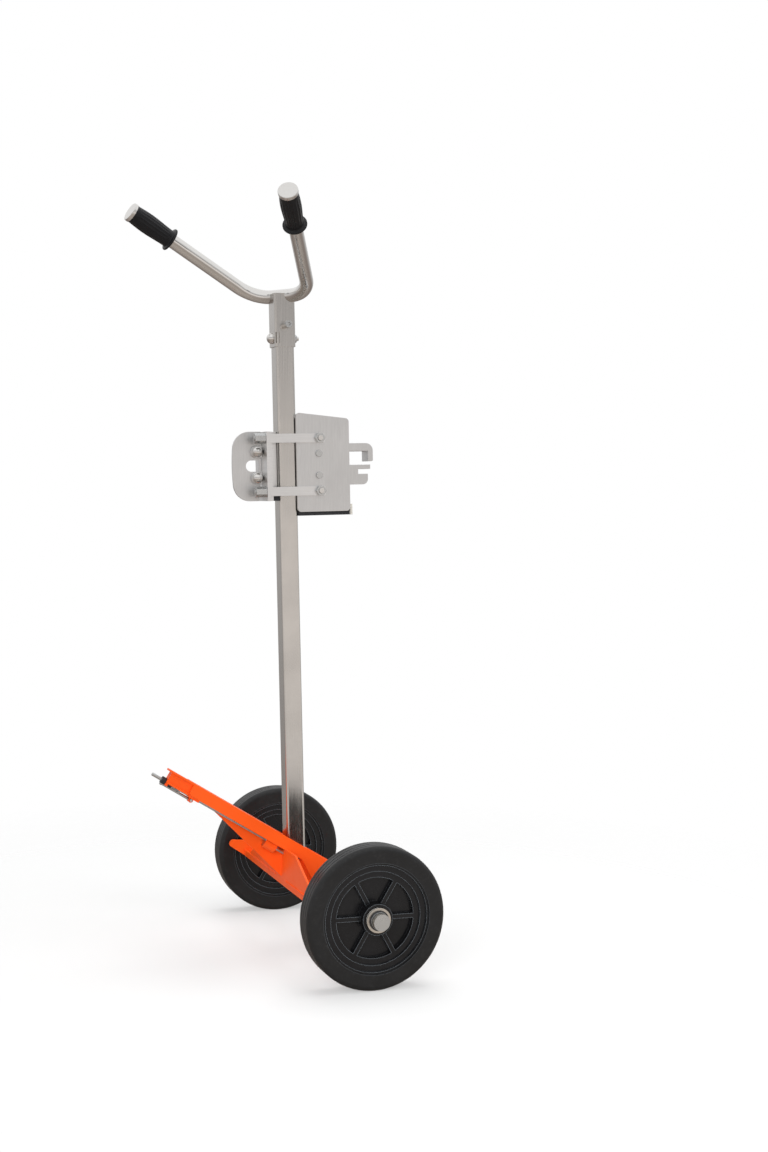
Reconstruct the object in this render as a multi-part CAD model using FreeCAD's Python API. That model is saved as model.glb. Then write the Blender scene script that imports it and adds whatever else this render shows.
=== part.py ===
"""Two-wheeled drum trolley with a folding mast, a sliding rim gripper and a foot lever.

Millimetres. The origin lies on the floor midway between the wheels, below the axle.
+X points forward to the load, +Y to the left wheel, +Z up.
"""
import FreeCAD, Part
import math
import os

V = FreeCAD.Vector
Y_AXIS = V(0, 1, 0)
X_AXIS = V(1, 0, 0)

# Fits
RUN = 0.05          # radial clearance of a running pin
SLIDE = 0.2         # clearance of a slipped-on fit or a loose guide
HEAD_FIT = 0.3      # gap between the head's pads and the mast
APART = 0.5         # least gap between bodies that pass each other
SIDES = (-1, 1)     # right (near) side, left (far) side
NEAR = 1.0          # half width of the window that picks an edge

# Wheels and axle
WHEEL_R = 125.0
TYRE_W = 50.0
TYRE_IN_R = 96.0
TYRE_EDGE_R = 9.0
TREAD_GROOVES = 3
TREAD_GROOVE_W = 2.0
TREAD_GROOVE_D = 2.0
TRACK = 573.0       # middle of one tyre to the middle of the other
RIM_LIP_R = 74.0
RIM_DISC_T = 9.0
RIM_LIP_T = 4.0
RIM_SETBACK = 3.0
RIB_N = 6
RIB_T = 8.0
HUB_R = 27.0
HUB_L = 60.0
BUSH_WALL = 3.5
BUSH_L = 24.0
BUSH_FLANGE_T = 2.0
BUSH_FLANGE_R = 21.0
AXLE_R = 15.0
AXLE_END = 13.0     # turned-down axle end beyond the retaining ring
AXLE_END_R = 14.5
WASHER_R = 21.7
WASHER_T = 3.0
RING_R = 17.5
RING_T = 2.5
INNER_RING_T = 1.0  # ring between the axle arm and the wheel

# Foot lever, measured along u (back and up from the axle) and w (square to it)
LEVER_SLOPE = 31.0
RAIL_TOP = 37.0
RAIL_H = 22.5
RAIL_T = 5.0
RAIL_END = 316.0
RAIL_NOSE_R = 22.0
RAIL_TAIL_R = 8.0
RAIL_NECK = 62.0
FORK_GAP = 46.0     # clear width between the two rails
COVER_T = 4.0
COVER_START = 128.0
WEB_T = 4.0
WEB_TAIL_W = 26.5
WEB_FALL = 0.2375   # drop of the web's lower edge per unit of u
TIP_L = 52.0
TIP_WALL = 3.5
TIP_W = 25.0
TIP_BOTTOM = 12.5
TIP_OVERHANG = 5.0  # top plate past the side wall
TIP_SETBACK = 6.5   # side wall short of the top plate's end
CLOSER_L = 26.0
CLOSER_BOTTOM = 10.0

# Latch pin with its head, pull rod, guides and wire trigger
LATCH_PIN_R = 4.0
LATCH_PIN_W = 9.0
LATCH_TIP_U = 92.5
LATCH_TRAVEL = 12.0
PIN_COLLAR_T = 5.0
ROD_R = 3.0
ROD_RISE = 4.8      # pull rod above the pin
ROD_Y = -11.0
ROD_PAST = 22.0     # pull rod beyond the pedal's end
BOSS_R = 11.0
BOSS_U = 114.0
BOSS_WALL = 2.3
BOSS_FRONT = 7.0    # solid front of the guide
BUSH_PLATE_INSET = 12.0
BUSH_PLATE_T = 5.0
BUSH_PLATE_H = 26.0
TAIL_BUSH_R = 6.5
TAIL_BUSH_L = 22.0
COLLAR_R = 6.5
COLLAR_L = 4.0
SPRING_WIRE_R = 0.9
SPRING_R = 5.0
SPRING_TURNS = 5
SPRING_GAP = 0.3
SPRING_LEAD = 2.5
TRIGGER_R = 2.5
TRIGGER_PIVOT_U = 300.0
TRIGGER_PIVOT_W = 7.0
TRIGGER_INSET = 5.0 # trigger's end short of the pedal's end
TRIGGER_SIDE = 1.7  # play beside the trigger's arm
TRIGGER_EAR_T = 3.0
TRIGGER_EAR_R = 4.5

# Cross beam, gusset and axle arms
BEAM_TOP = 132.0
BEAM_DEPTH = 22.0
BEAM_H = 13.0
BEAM_T = 4.0
ARM_T = 6.0
ARM_NOSE_R = 22.0
ARM_CORNER = 6.0
ARM_TAIL_U = 104.0
ARM_TAIL_W = -30.0
ARM_TAIL_H = 12.0
ARM_KNEE_U = 60.0
ARM_KNEE_W = -44.0
GUSSET_FRONT = -73.5
GUSSET_T = 4.0
EAR_TOP = 201.0
GUSSET_TOP = 190.0
GUSSET_FLAT = 85.0  # half of its level top edge
GUSSET_FOOT = 5.0
GUSSET_INSET = 43.0

# Mast, leaning back about its foot point
MAST_LEAN = 2.6
MAST_FOOT_X = -44.0
MAST_W = 35.0
MAST_T = 2.0
MAST_R = 5.0
MAST_TOP = 1196.0
MAST_BOTTOM = 138.0
SOCKET_WALL = 2.0
SOCKET_BOTTOM = 130.0
SOCKET_TOP = 188.0
HUB_TUBE_R = 20.0
HUB_BUSH_WALL = 2.5
FOOT_BOLT_Z = 178.0
FOOT_BOLT_R = 5.0
BOLT_HEAD_T = 4.0
NUT_T = 6.5

# Handle
SLEEVE_WALL = 2.2
SLEEVE_BOTTOM = 1117.0
SLEEVE_TOP = 1214.0
BAR_Z = 1210.2
BAR_R = 12.5
BAR_T = 1.5
BAR_TURN = 37.8     # the crossbar is turned this far on the mast
BAR_HALF = 61.3
ARM_BACK = 212.2
ARM_OUT = 168.1
ARM_UP = 140.0
BAR_BEND_R = 62.0
GRIP_L = 84.0
GRIP_R = 18.0
GRIP_WAIST = 2.0
GRIP_BELLY = 0.55   # fullest point, as a share of the grip's length
GRIP_FLANGE_R = 21.5
GRIP_FLANGE_T = 4.0
GRIP_RIBS = 18
GRIP_RIB_R = 1.0
CAP_R = 17.5
CAP_T = 6.5
CAP_EDGE = 2.0
CAP_PLUG = 12.0
SLEEVE_SCREW_Z = 1156.0
SLEEVE_SCREW_X = 1.0
SCREW_R = 4.0
SCREW_HEAD_R = 6.5
SCREW_HEAD_T = 8.0
SCREW_SOCKET_R = 3.0
SPACER_R = 7.0
SPACER_L = 12.0
DOME_Z = 1133.0
DOME_R = 10.0
NOTCH_W = 9.0
NOTCH_H = 20.0

# Gripper head, in the mast's own upright frame (x from the mast axis, z along the mast)
HEAD_BACK = 14.5
HEAD_FRONT = 117.0
HEAD_BOTTOM = 814.5
HEAD_TOP_BACK = 997.0
HEAD_TOP_FRONT = 985.5
HEAD_CORNER = 7.0
HEAD_IN = 20.0      # half the clear width between the cheek plates
HEAD_T = 5.0
STRAP_T = 5.0
STRAP_H = 16.5
STRAP_ZS = (853.0, 950.0)
STRAP_FRONT = 67.0
STRAP_BOLT_X = 57.5
STRAP_BOLT_R = 5.0
SPACER_TUBE_R = 8.0
YOKE_BACK = -46.0
YOKE_T = 6.0
YOKE_FLANGE = 9.0
YOKE_OVER = 8.0
YOKE_BOTTOM = 836.0
YOKE_RIB = 12.0
STUD_R = 5.0
STUD_PAST = 1.0
HEX_AF = 17.0
HEX_T = 10.0
PAD_X = 24.0
PIN_X = 57.5
PIN_ZS = (881.5, 921.8)
PIN_R = 5.0
PIN_HEAD_R = 6.5
PIN_HEAD_T = 3.0
JAW_SIDE = 3.0      # gap beside the jaws
BLOCK_H = 22.0
BLOCK_DROP = 7.0
FRONT_PAD_T = 4.0
FRONT_PAD_H = 20.0
JAW_NOSE_X = 166.5
JAW_NOSE_T = 10.0
JAW_TOP_CORNER = 14.0
JAW_NOSE_CORNER = 3.3
JAW_NOSE_Z = 906.0
JAW_TOP_Z = 940.0
JAW_UNDER_Z = 925.0
LOWER_TIP_X = 160.7
LOWER_TOP_Z = 899.7
LOWER_FOOT_Z = 863.0
LOBE_TIP_X = 155.7
LOBE_CORNER = 10.0
GROOVE_Z = 887.2
GROOVE_H = 9.0
GROOVE_D = 24.0
PLATE_T = 5.0
PLATE_BACK = -101.5
PLATE_FRONT = -47.0
PLATE_BOTTOM = 836.0
PLATE_TOP = 963.0
PLATE_BULGE = 5.0
PLATE_CORNER = 32.0
HOLE_BACK = -76.0
HOLE_FRONT = -51.0
HOLE_Z = 900.3
HOLE_H = 20.5
LUG_T = 5.0
LUG_R = 11.0
LUG_X = -56.5
LUG_ZS = (878.0, 926.0)
LUG_BOLT_R = 4.0
PLATE_SWING = 8.0   # degrees

# Derived places
AXLE_Z = WHEEL_R
WHEEL_Y = TRACK / 2
ROOT_T = math.radians(LEVER_SLOPE)
MAST_A = math.radians(MAST_LEAN)
HUB_OUT = WHEEL_Y + HUB_L / 2
RING_OUT = HUB_OUT + APART + WASHER_T + RING_T
AXLE_HALF = RING_OUT + AXLE_END
RAIL_IN = FORK_GAP / 2
RAIL_BOTTOM = RAIL_TOP - RAIL_H
FOOT_HALF = RAIL_IN - 2 * APART
SOCKET_HALF = MAST_W / 2 + SLIDE + SOCKET_WALL
SLEEVE_HALF = MAST_W / 2 + SLIDE + SLEEVE_WALL
STRAP_IN = HEAD_IN + HEAD_T
STRAP_OUT = STRAP_IN + STRAP_T
GUSSET_BACK = GUSSET_FRONT - GUSSET_T
BEAM_BOTTOM = BEAM_TOP - BEAM_H
BEAM_HALF = WHEEL_Y - HUB_L / 2 - APART - INNER_RING_T - ARM_T
GUSSET_HALF = BEAM_HALF - GUSSET_INSET
RAIL_OUT = RAIL_IN + RAIL_T
TIP_END = RAIL_END + TIP_L
TIP_WALL_Y = -RAIL_OUT + TIP_OVERHANG
BUSH_PLATE_U = TIP_END - BUSH_PLATE_INSET
ROD_W = LATCH_PIN_W + ROD_RISE
BOSS_BORE = BOSS_R - BOSS_WALL
PIN_COLLAR_U = BOSS_U + BOSS_FRONT + APART + LATCH_TRAVEL
BOSS_L = PIN_COLLAR_U + PIN_COLLAR_T + APART - BOSS_U


def lever(u, w):
    """World X and Z of a point on the lever."""
    return (-u * math.cos(ROOT_T) + w * math.sin(ROOT_T),
            AXLE_Z + u * math.sin(ROOT_T) + w * math.cos(ROOT_T))


def lever_point(u, y, w):
    x, z = lever(u, w)
    return V(x, y, z)


LEVER_BACK = V(-math.cos(ROOT_T), 0, math.sin(ROOT_T))


def box(x0, x1, y0, y1, z0, z1):
    return Part.makeBox(x1 - x0, y1 - y0, z1 - z0, V(x0, y0, z0))


def rod(start, direction, length, radius):
    return Part.makeCylinder(radius, length, start, direction)


def ring(start, direction, length, outer, inner):
    return rod(start, direction, length, outer).cut(rod(start, direction, length, inner))


def cross_rod(x, z, y0, y1, radius):
    return rod(V(x, y0, z), Y_AXIS, y1 - y0, radius)


def cross_ring(x, z, y0, y1, outer, inner):
    return ring(V(x, y0, z), Y_AXIS, y1 - y0, outer, inner)


def prism(points, y0, y1):
    """A flat outline in X and Z, given thickness along Y."""
    corners = [V(x, y0, z) for x, z in points]
    face = Part.Face(Part.makePolygon(corners + corners[:1]))
    return face.extrude(V(0, y1 - y0, 0))


def lever_prism(points, y0, y1):
    return prism([lever(u, w) for u, w in points], y0, y1)


def round_across(shape, radius, low, high):
    """Round the edges along Y whose middle lies in the X Z window low to high."""
    edges = []
    for edge in shape.Edges:
        a, b = edge.Vertexes[0].Point, edge.Vertexes[-1].Point
        along = abs(a.x - b.x) < 1e-6 and abs(a.z - b.z) < 1e-6
        if along and low[0] <= a.x <= high[0] and low[1] <= a.z <= high[1]:
            edges.append(edge)
    return shape.makeFillet(radius, edges)


def round_at(shape, radius, place):
    """Round the edge along Y at one X Z place."""
    x, z = place
    return round_across(shape, radius, (x - NEAR, z - NEAR), (x + NEAR, z + NEAR))


def square_tube(half, wall, corner, z0, z1):
    outer = box(-half, half, -half, half, z0, z1)
    upright = [e for e in outer.Edges if abs(e.Vertexes[0].Z - e.Vertexes[-1].Z) > NEAR]
    outer = outer.makeFillet(corner, upright)
    inside = half - wall
    inner = box(-inside, inside, -inside, inside, z0, z1)
    return outer.cut(inner)


def hexagon(start, direction, length, across):
    """A hexagonal nut body along direction."""
    radius = across / math.sqrt(3)
    turn = FreeCAD.Rotation(V(0, 0, 1), direction)
    angles = [k * math.pi / 3 for k in range(7)]
    corners = [V(radius * math.cos(a), radius * math.sin(a), 0) for a in angles]
    face = Part.Face(Part.makePolygon([start + turn.multVec(c) for c in corners]))
    return face.extrude(V(direction).normalize() * length)


def on_mast(shape):
    """Lean a piece built in the mast's upright frame into place."""
    moved = shape.copy()
    moved.rotate(V(0, 0, 0), Y_AXIS, -MAST_LEAN)
    moved.translate(V(MAST_FOOT_X, 0, 0))
    return moved


def from_world(x, z):
    """A world X and Z in the mast's upright frame."""
    return ((x - MAST_FOOT_X) * math.cos(MAST_A) + z * math.sin(MAST_A),
            z * math.cos(MAST_A) - (x - MAST_FOOT_X) * math.sin(MAST_A))


NODES = {}


def keep(name, *solids):
    NODES[name] = solids[0] if len(solids) == 1 else Part.makeCompound(list(solids))


def keep_on_mast(name, *solids):
    keep(name, *[on_mast(s) for s in solids])


def wheel(side, name):
    """Tyre, ribbed rim and two bushes of one wheel, and the washer and ring outside it."""
    mid = side * WHEEL_Y
    y0, y1 = mid - TYRE_W / 2, mid + TYRE_W / 2
    tyre = cross_rod(0, AXLE_Z, y0, y1, WHEEL_R)
    tyre = tyre.makeFillet(TYRE_EDGE_R, [e for e in tyre.Edges if len(e.Vertexes) == 1])
    tyre = tyre.cut(cross_rod(0, AXLE_Z, y0, y1, TYRE_IN_R))
    pitch = (TYRE_W - 2 * TYRE_EDGE_R) / TREAD_GROOVES
    for k in range(TREAD_GROOVES):
        g = mid + (k - (TREAD_GROOVES - 1) / 2) * pitch
        groove = cross_ring(0, AXLE_Z, g - TREAD_GROOVE_W / 2, g + TREAD_GROOVE_W / 2,
                            WHEEL_R + TREAD_GROOVE_D, WHEEL_R - TREAD_GROOVE_D)
        tyre = tyre.cut(groove)
    keep(name + "_tyre", tyre)

    r0, r1 = y0 + RIM_SETBACK, y1 - RIM_SETBACK
    band = cross_ring(0, AXLE_Z, r0, r1, TYRE_IN_R, TYRE_IN_R - RIM_LIP_T)
    step = (TYRE_IN_R + RIM_LIP_R) / 2
    q0, q1 = r0 + 2 * RIM_LIP_T, r1 - 2 * RIM_LIP_T
    shelf = cross_ring(0, AXLE_Z, r0 + RIM_LIP_T, r1 - RIM_LIP_T, TYRE_IN_R - RIM_LIP_T, step - RIM_LIP_T)
    lip = cross_ring(0, AXLE_Z, q0, q1, step - RIM_LIP_T, RIM_LIP_R - RIM_LIP_T)
    disc = cross_ring(0, AXLE_Z, mid - RIM_DISC_T / 2, mid + RIM_DISC_T / 2, RIM_LIP_R - RIM_LIP_T, HUB_R)
    bore = AXLE_R + RUN + BUSH_WALL
    hub_half = HUB_L / 2 - BUSH_FLANGE_T
    hub = cross_ring(0, AXLE_Z, mid - hub_half, mid + hub_half, HUB_R, bore)
    rim = band.fuse([shelf, lip, disc, hub])
    for k in range(RIB_N):
        rib = box(HUB_R - RIM_LIP_T / 2, RIM_LIP_R, q0, q1, -RIB_T / 2, RIB_T / 2)
        rib.rotate(V(0, 0, 0), Y_AXIS, k * 360.0 / RIB_N)
        rib.translate(V(0, 0, AXLE_Z))
        rim = rim.fuse(rib)
    keep(name + "_rim", rim.removeSplitter())

    bushes = []
    for end in SIDES:
        face = mid + end * HUB_L / 2
        inner = face - end * BUSH_FLANGE_T
        tube_end = inner - end * BUSH_L
        body = cross_ring(0, AXLE_Z, min(inner, tube_end), max(inner, tube_end), bore, AXLE_R + RUN)
        flange = cross_ring(0, AXLE_Z, min(face, inner), max(face, inner), BUSH_FLANGE_R, AXLE_R + RUN)
        bushes.append(body.fuse(flange).removeSplitter())
    keep(name + "_bushes", *bushes)


def axle_set():
    bar = cross_rod(0, AXLE_Z, -RING_OUT, RING_OUT, AXLE_R)
    keep("axle", bar.fuse(cross_rod(0, AXLE_Z, -AXLE_HALF, AXLE_HALF, AXLE_END_R)).removeSplitter())
    washers, rings = [], []
    for side in SIDES:
        w0 = side * (HUB_OUT + APART)
        w1 = w0 + side * WASHER_T
        w2 = w1 + side * RING_T
        washers.append(cross_ring(0, AXLE_Z, min(w0, w1), max(w0, w1), WASHER_R, AXLE_R))
        rings.append(cross_ring(0, AXLE_Z, min(w1, w2), max(w1, w2), RING_R, AXLE_R))
        r0 = side * (BEAM_HALF + ARM_T)
        r1 = side * (WHEEL_Y - HUB_L / 2 - APART)
        rings.append(cross_ring(0, AXLE_Z, min(r0, r1), max(r0, r1), RING_R, AXLE_R))
    keep("axle_washers", *washers)
    keep("axle_rings", *rings)


def frame_set():
    """Cross beam, gusset, axle arms, rails, cover, web, pedal tip and its closing end."""
    beam = box(GUSSET_BACK, GUSSET_BACK + BEAM_DEPTH, -BEAM_HALF, BEAM_HALF, BEAM_BOTTOM, BEAM_TOP)
    beam = beam.cut(box(GUSSET_BACK + BEAM_T, GUSSET_BACK + BEAM_DEPTH, -BEAM_HALF, BEAM_HALF,
                        BEAM_BOTTOM + BEAM_T, BEAM_TOP))
    keep("cross_beam", round_at(beam, BEAM_T / 2, (GUSSET_BACK, BEAM_BOTTOM)))

    arms = []
    for side in SIDES:
        a0, a1 = sorted((side * BEAM_HALF, side * (BEAM_HALF + ARM_T)))
        under = ARM_TAIL_W - ARM_TAIL_H
        arm = lever_prism([(ARM_TAIL_U, ARM_TAIL_W), (0, ARM_NOSE_R), (0, -ARM_NOSE_R),
                           (ARM_KNEE_U, ARM_KNEE_W), (ARM_TAIL_U, under)], a0, a1)
        for w in (ARM_TAIL_W, under):
            arm = round_at(arm, ARM_CORNER, lever(ARM_TAIL_U, w))
        arm = arm.fuse(cross_rod(0, AXLE_Z, a0, a1, ARM_NOSE_R)).removeSplitter()
        arms.append(arm.cut(cross_rod(0, AXLE_Z, a0, a1, AXLE_R)))
    keep("axle_arms", *arms)

    slot_in = RAIL_IN - SLIDE
    slot_out = RAIL_OUT + SLIDE
    slot_z = lever_height(GUSSET_FRONT, RAIL_BOTTOM) - GUSSET_T / 2
    half = [(0, EAR_TOP), (slot_in, EAR_TOP), (slot_in, slot_z), (slot_out, slot_z), (slot_out, GUSSET_TOP),
            (GUSSET_FLAT, GUSSET_TOP), (GUSSET_HALF, BEAM_TOP + GUSSET_FOOT), (GUSSET_HALF, BEAM_TOP)]
    outline = [V(GUSSET_BACK, y, z) for y, z in half]
    outline += [V(GUSSET_BACK, -y, z) for y, z in reversed(half[1:])]
    gusset = Part.Face(Part.makePolygon(outline + outline[:1])).extrude(V(GUSSET_T, 0, 0))
    hole = rod(lever_point(BOSS_U, ROD_Y, LATCH_PIN_W), -LEVER_BACK, BOSS_L * 2, LATCH_PIN_R + SLIDE)
    keep("gusset_plate", gusset.cut(hole))

    rails = []
    for side in SIDES:
        y0, y1 = sorted((side * RAIL_IN, side * RAIL_OUT))
        rail = lever_prism([(0, RAIL_TOP), (RAIL_END, RAIL_TOP), (RAIL_END, RAIL_BOTTOM),
                            (RAIL_NECK, RAIL_BOTTOM), (0, -RAIL_NOSE_R), (-RAIL_NOSE_R, 0),
                            (-RAIL_NOSE_R, RAIL_TOP)], y0, y1)
        rail = round_at(rail, RAIL_TAIL_R, lever(RAIL_END, RAIL_BOTTOM))
        rail = rail.fuse(cross_rod(0, AXLE_Z, y0, y1, RAIL_NOSE_R)).removeSplitter()
        rails.append(rail.cut(cross_rod(0, AXLE_Z, y0, y1, AXLE_R)))
    keep("lever_rails", *rails)

    cover = lever_prism([(COVER_START, RAIL_TOP), (RAIL_END, RAIL_TOP), (RAIL_END, RAIL_TOP - COVER_T),
                         (COVER_START, RAIL_TOP - COVER_T)], -RAIL_IN, RAIL_IN)
    keep("lever_cover", cover)

    under = RAIL_TOP - COVER_T
    tail = RAIL_END - CLOSER_L
    web_front = [(tail, under), (tail, WEB_TAIL_W - (RAIL_END - tail) * WEB_FALL)]
    low_u = RAIL_NECK
    web_front += [(low_u, WEB_TAIL_W - (RAIL_END - low_u) * WEB_FALL), (low_u, RAIL_BOTTOM)]
    web_front += [(COVER_START, under)]
    web = lever_prism(web_front, -WEB_T / 2, WEB_T / 2)
    keep_back = box(-2 * RAIL_END, GUSSET_BACK, -RAIL_IN, RAIL_IN, 0, 2 * RAIL_END)
    keep("lever_web", web.common(keep_back))

    flange = lever_prism([(RAIL_END, RAIL_TOP), (TIP_END, RAIL_TOP), (TIP_END, RAIL_TOP - TIP_WALL),
                          (RAIL_END, RAIL_TOP - TIP_WALL)], -RAIL_OUT, -RAIL_OUT + TIP_W)
    wall_end = TIP_END - TIP_SETBACK
    side_wall = lever_prism([(RAIL_END, RAIL_TOP), (wall_end, RAIL_TOP), (wall_end, TIP_BOTTOM),
                             (RAIL_END, TIP_BOTTOM)], TIP_WALL_Y, TIP_WALL_Y + TIP_WALL)
    lip = lever_prism([(RAIL_END, TIP_BOTTOM + TIP_WALL), (wall_end, TIP_BOTTOM + TIP_WALL),
                       (wall_end, TIP_BOTTOM), (RAIL_END, TIP_BOTTOM)], -RAIL_OUT, TIP_WALL_Y + TIP_WALL)
    keep("pedal_tip", flange.fuse([side_wall, lip]).removeSplitter())

    closer = lever_prism([(tail, under), (RAIL_END, under), (RAIL_END, CLOSER_BOTTOM), (tail, CLOSER_BOTTOM)],
                         -RAIL_IN, RAIL_IN)
    closer = round_at(closer, RAIL_TAIL_R, lever(RAIL_END, CLOSER_BOTTOM))
    bore = rod(lever_point(tail, ROD_Y, ROD_W), LEVER_BACK, CLOSER_L, ROD_R + SLIDE)
    keep("lever_closer", closer.cut(bore))


def lever_height(x, w):
    """World Z of a line along the lever, at offset w, above a world X."""
    u = (w * math.sin(ROOT_T) - x) / math.cos(ROOT_T)
    return lever(u, w)[1]


def coil_path(start, turns, lead):
    """A coil round the lever's direction, as arcs of half a turn."""
    side = Y_AXIS
    up = LEVER_BACK.cross(side)

    def at(k):
        turn = k * 2 * math.pi
        across = side * (SPRING_R * math.cos(turn)) + up * (SPRING_R * math.sin(turn))
        return start + LEVER_BACK * (k * lead) + across

    halves = int(2 * turns)
    arcs = [Part.Arc(at(k / 2), at(k / 2 + 0.25), at(k / 2 + 0.5)).toShape() for k in range(halves)]
    return Part.Wire(arcs), at


def latch_set():
    """The latch pin in its guide, the pull rod with its collar, bush and spring, and the wire trigger."""
    boss = ring(lever_point(BOSS_U, ROD_Y, LATCH_PIN_W), LEVER_BACK, BOSS_L, BOSS_R, LATCH_PIN_R + RUN)
    boss = boss.cut(rod(lever_point(BOSS_U + BOSS_FRONT, ROD_Y, LATCH_PIN_W), LEVER_BACK, BOSS_L, BOSS_BORE))
    web_side = lever_prism([(0, -RAIL_END), (RAIL_END, -RAIL_END), (RAIL_END, RAIL_END), (0, RAIL_END)],
                           -WEB_T / 2, RAIL_IN)
    keep("rod_guide_boss", boss.cut(web_side))
    tip = lever_point(LATCH_TIP_U, ROD_Y, LATCH_PIN_W)
    pin = rod(tip, LEVER_BACK, PIN_COLLAR_U - LATCH_TIP_U, LATCH_PIN_R)
    pin = pin.makeFillet(LATCH_PIN_R / 2, [min(pin.Edges, key=lambda e: (e.CenterOfMass - tip).Length)])
    head = rod(lever_point(PIN_COLLAR_U, ROD_Y, LATCH_PIN_W), LEVER_BACK, PIN_COLLAR_T, BOSS_BORE - APART)
    keep("latch_pin", pin.fuse(head).removeSplitter())

    top = RAIL_TOP - TIP_WALL
    plate_end = BUSH_PLATE_U + BUSH_PLATE_T
    plate = lever_prism([(BUSH_PLATE_U, top), (plate_end, top), (plate_end, top - BUSH_PLATE_H),
                         (BUSH_PLATE_U, top - BUSH_PLATE_H)], TIP_WALL_Y + TIP_WALL, -RAIL_OUT + TIP_W)
    seat = rod(lever_point(BUSH_PLATE_U, ROD_Y, ROD_W), LEVER_BACK, BUSH_PLATE_T, TAIL_BUSH_R)
    keep("rod_tail_plate", plate.cut(seat))
    bush_u = BUSH_PLATE_U - (TAIL_BUSH_L - BUSH_PLATE_T) / 2
    bush = ring(lever_point(bush_u, ROD_Y, ROD_W), LEVER_BACK, TAIL_BUSH_L, TAIL_BUSH_R, ROD_R + RUN)
    keep("rod_tail_bush", bush)

    rod_start = PIN_COLLAR_U + PIN_COLLAR_T
    rod_end = lever_point(TIP_END + ROD_PAST, ROD_Y, ROD_W)
    bar = rod(lever_point(rod_start, ROD_Y, ROD_W), LEVER_BACK, TIP_END + ROD_PAST - rod_start, ROD_R)
    bar = bar.makeFillet(ROD_R / 2, [min(bar.Edges, key=lambda e: (e.CenterOfMass - rod_end).Length)])
    keep("latch_rod", bar)
    length = SPRING_TURNS * SPRING_LEAD
    spring_u = bush_u - SPRING_GAP - SPRING_WIRE_R - length
    collar_u = spring_u - SPRING_WIRE_R - SPRING_GAP - COLLAR_L
    keep("latch_collar", ring(lever_point(collar_u, ROD_Y, ROD_W), LEVER_BACK, COLLAR_L, COLLAR_R, ROD_R))
    path, at = coil_path(lever_point(spring_u, ROD_Y, ROD_W), SPRING_TURNS, SPRING_LEAD)
    section = Part.Wire(Part.Circle(at(0), path.Edges[0].tangentAt(path.Edges[0].FirstParameter),
                                    SPRING_WIRE_R).toShape())
    keep("latch_spring", path.makePipeShell([section], True, False))
    print("latch spring gap between turns", round(SPRING_LEAD - 2 * SPRING_WIRE_R, 3))

    pivot_place = lever(TRIGGER_PIVOT_U, TRIGGER_PIVOT_W)
    ears = []
    for y0 in (-TRIGGER_R - TRIGGER_SIDE - TRIGGER_EAR_T, TRIGGER_R + TRIGGER_SIDE):
        y1 = y0 + TRIGGER_EAR_T
        eye = cross_rod(*pivot_place, y0, y1, TRIGGER_EAR_R)
        stem = lever_prism([(TRIGGER_PIVOT_U - TRIGGER_EAR_R, TRIGGER_PIVOT_W),
                            (TRIGGER_PIVOT_U + TRIGGER_EAR_R, TRIGGER_PIVOT_W),
                            (TRIGGER_PIVOT_U + TRIGGER_EAR_R, CLOSER_BOTTOM),
                            (TRIGGER_PIVOT_U - TRIGGER_EAR_R, CLOSER_BOTTOM)], y0, y1)
        ear = eye.fuse(stem).removeSplitter().cut(NODES["lever_closer"])
        ears.append(ear.cut(cross_rod(*pivot_place, y0, y1, TRIGGER_R + RUN)))
    keep("trigger_ears", *ears)

    reach = TRIGGER_R + TRIGGER_SIDE + TRIGGER_EAR_T + TRIGGER_R
    pivot = cross_rod(*pivot_place, -reach, reach, TRIGGER_R)
    tail_u = TIP_END - TRIGGER_INSET
    length = tail_u - TRIGGER_PIVOT_U
    arm = rod(lever_point(TRIGGER_PIVOT_U, 0, TRIGGER_PIVOT_W), LEVER_BACK, length, TRIGGER_R)
    knob = Part.makeSphere(TRIGGER_R + SPRING_WIRE_R, lever_point(tail_u, 0, TRIGGER_PIVOT_W))
    keep("latch_trigger", pivot.fuse([arm, knob]).removeSplitter())


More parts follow.
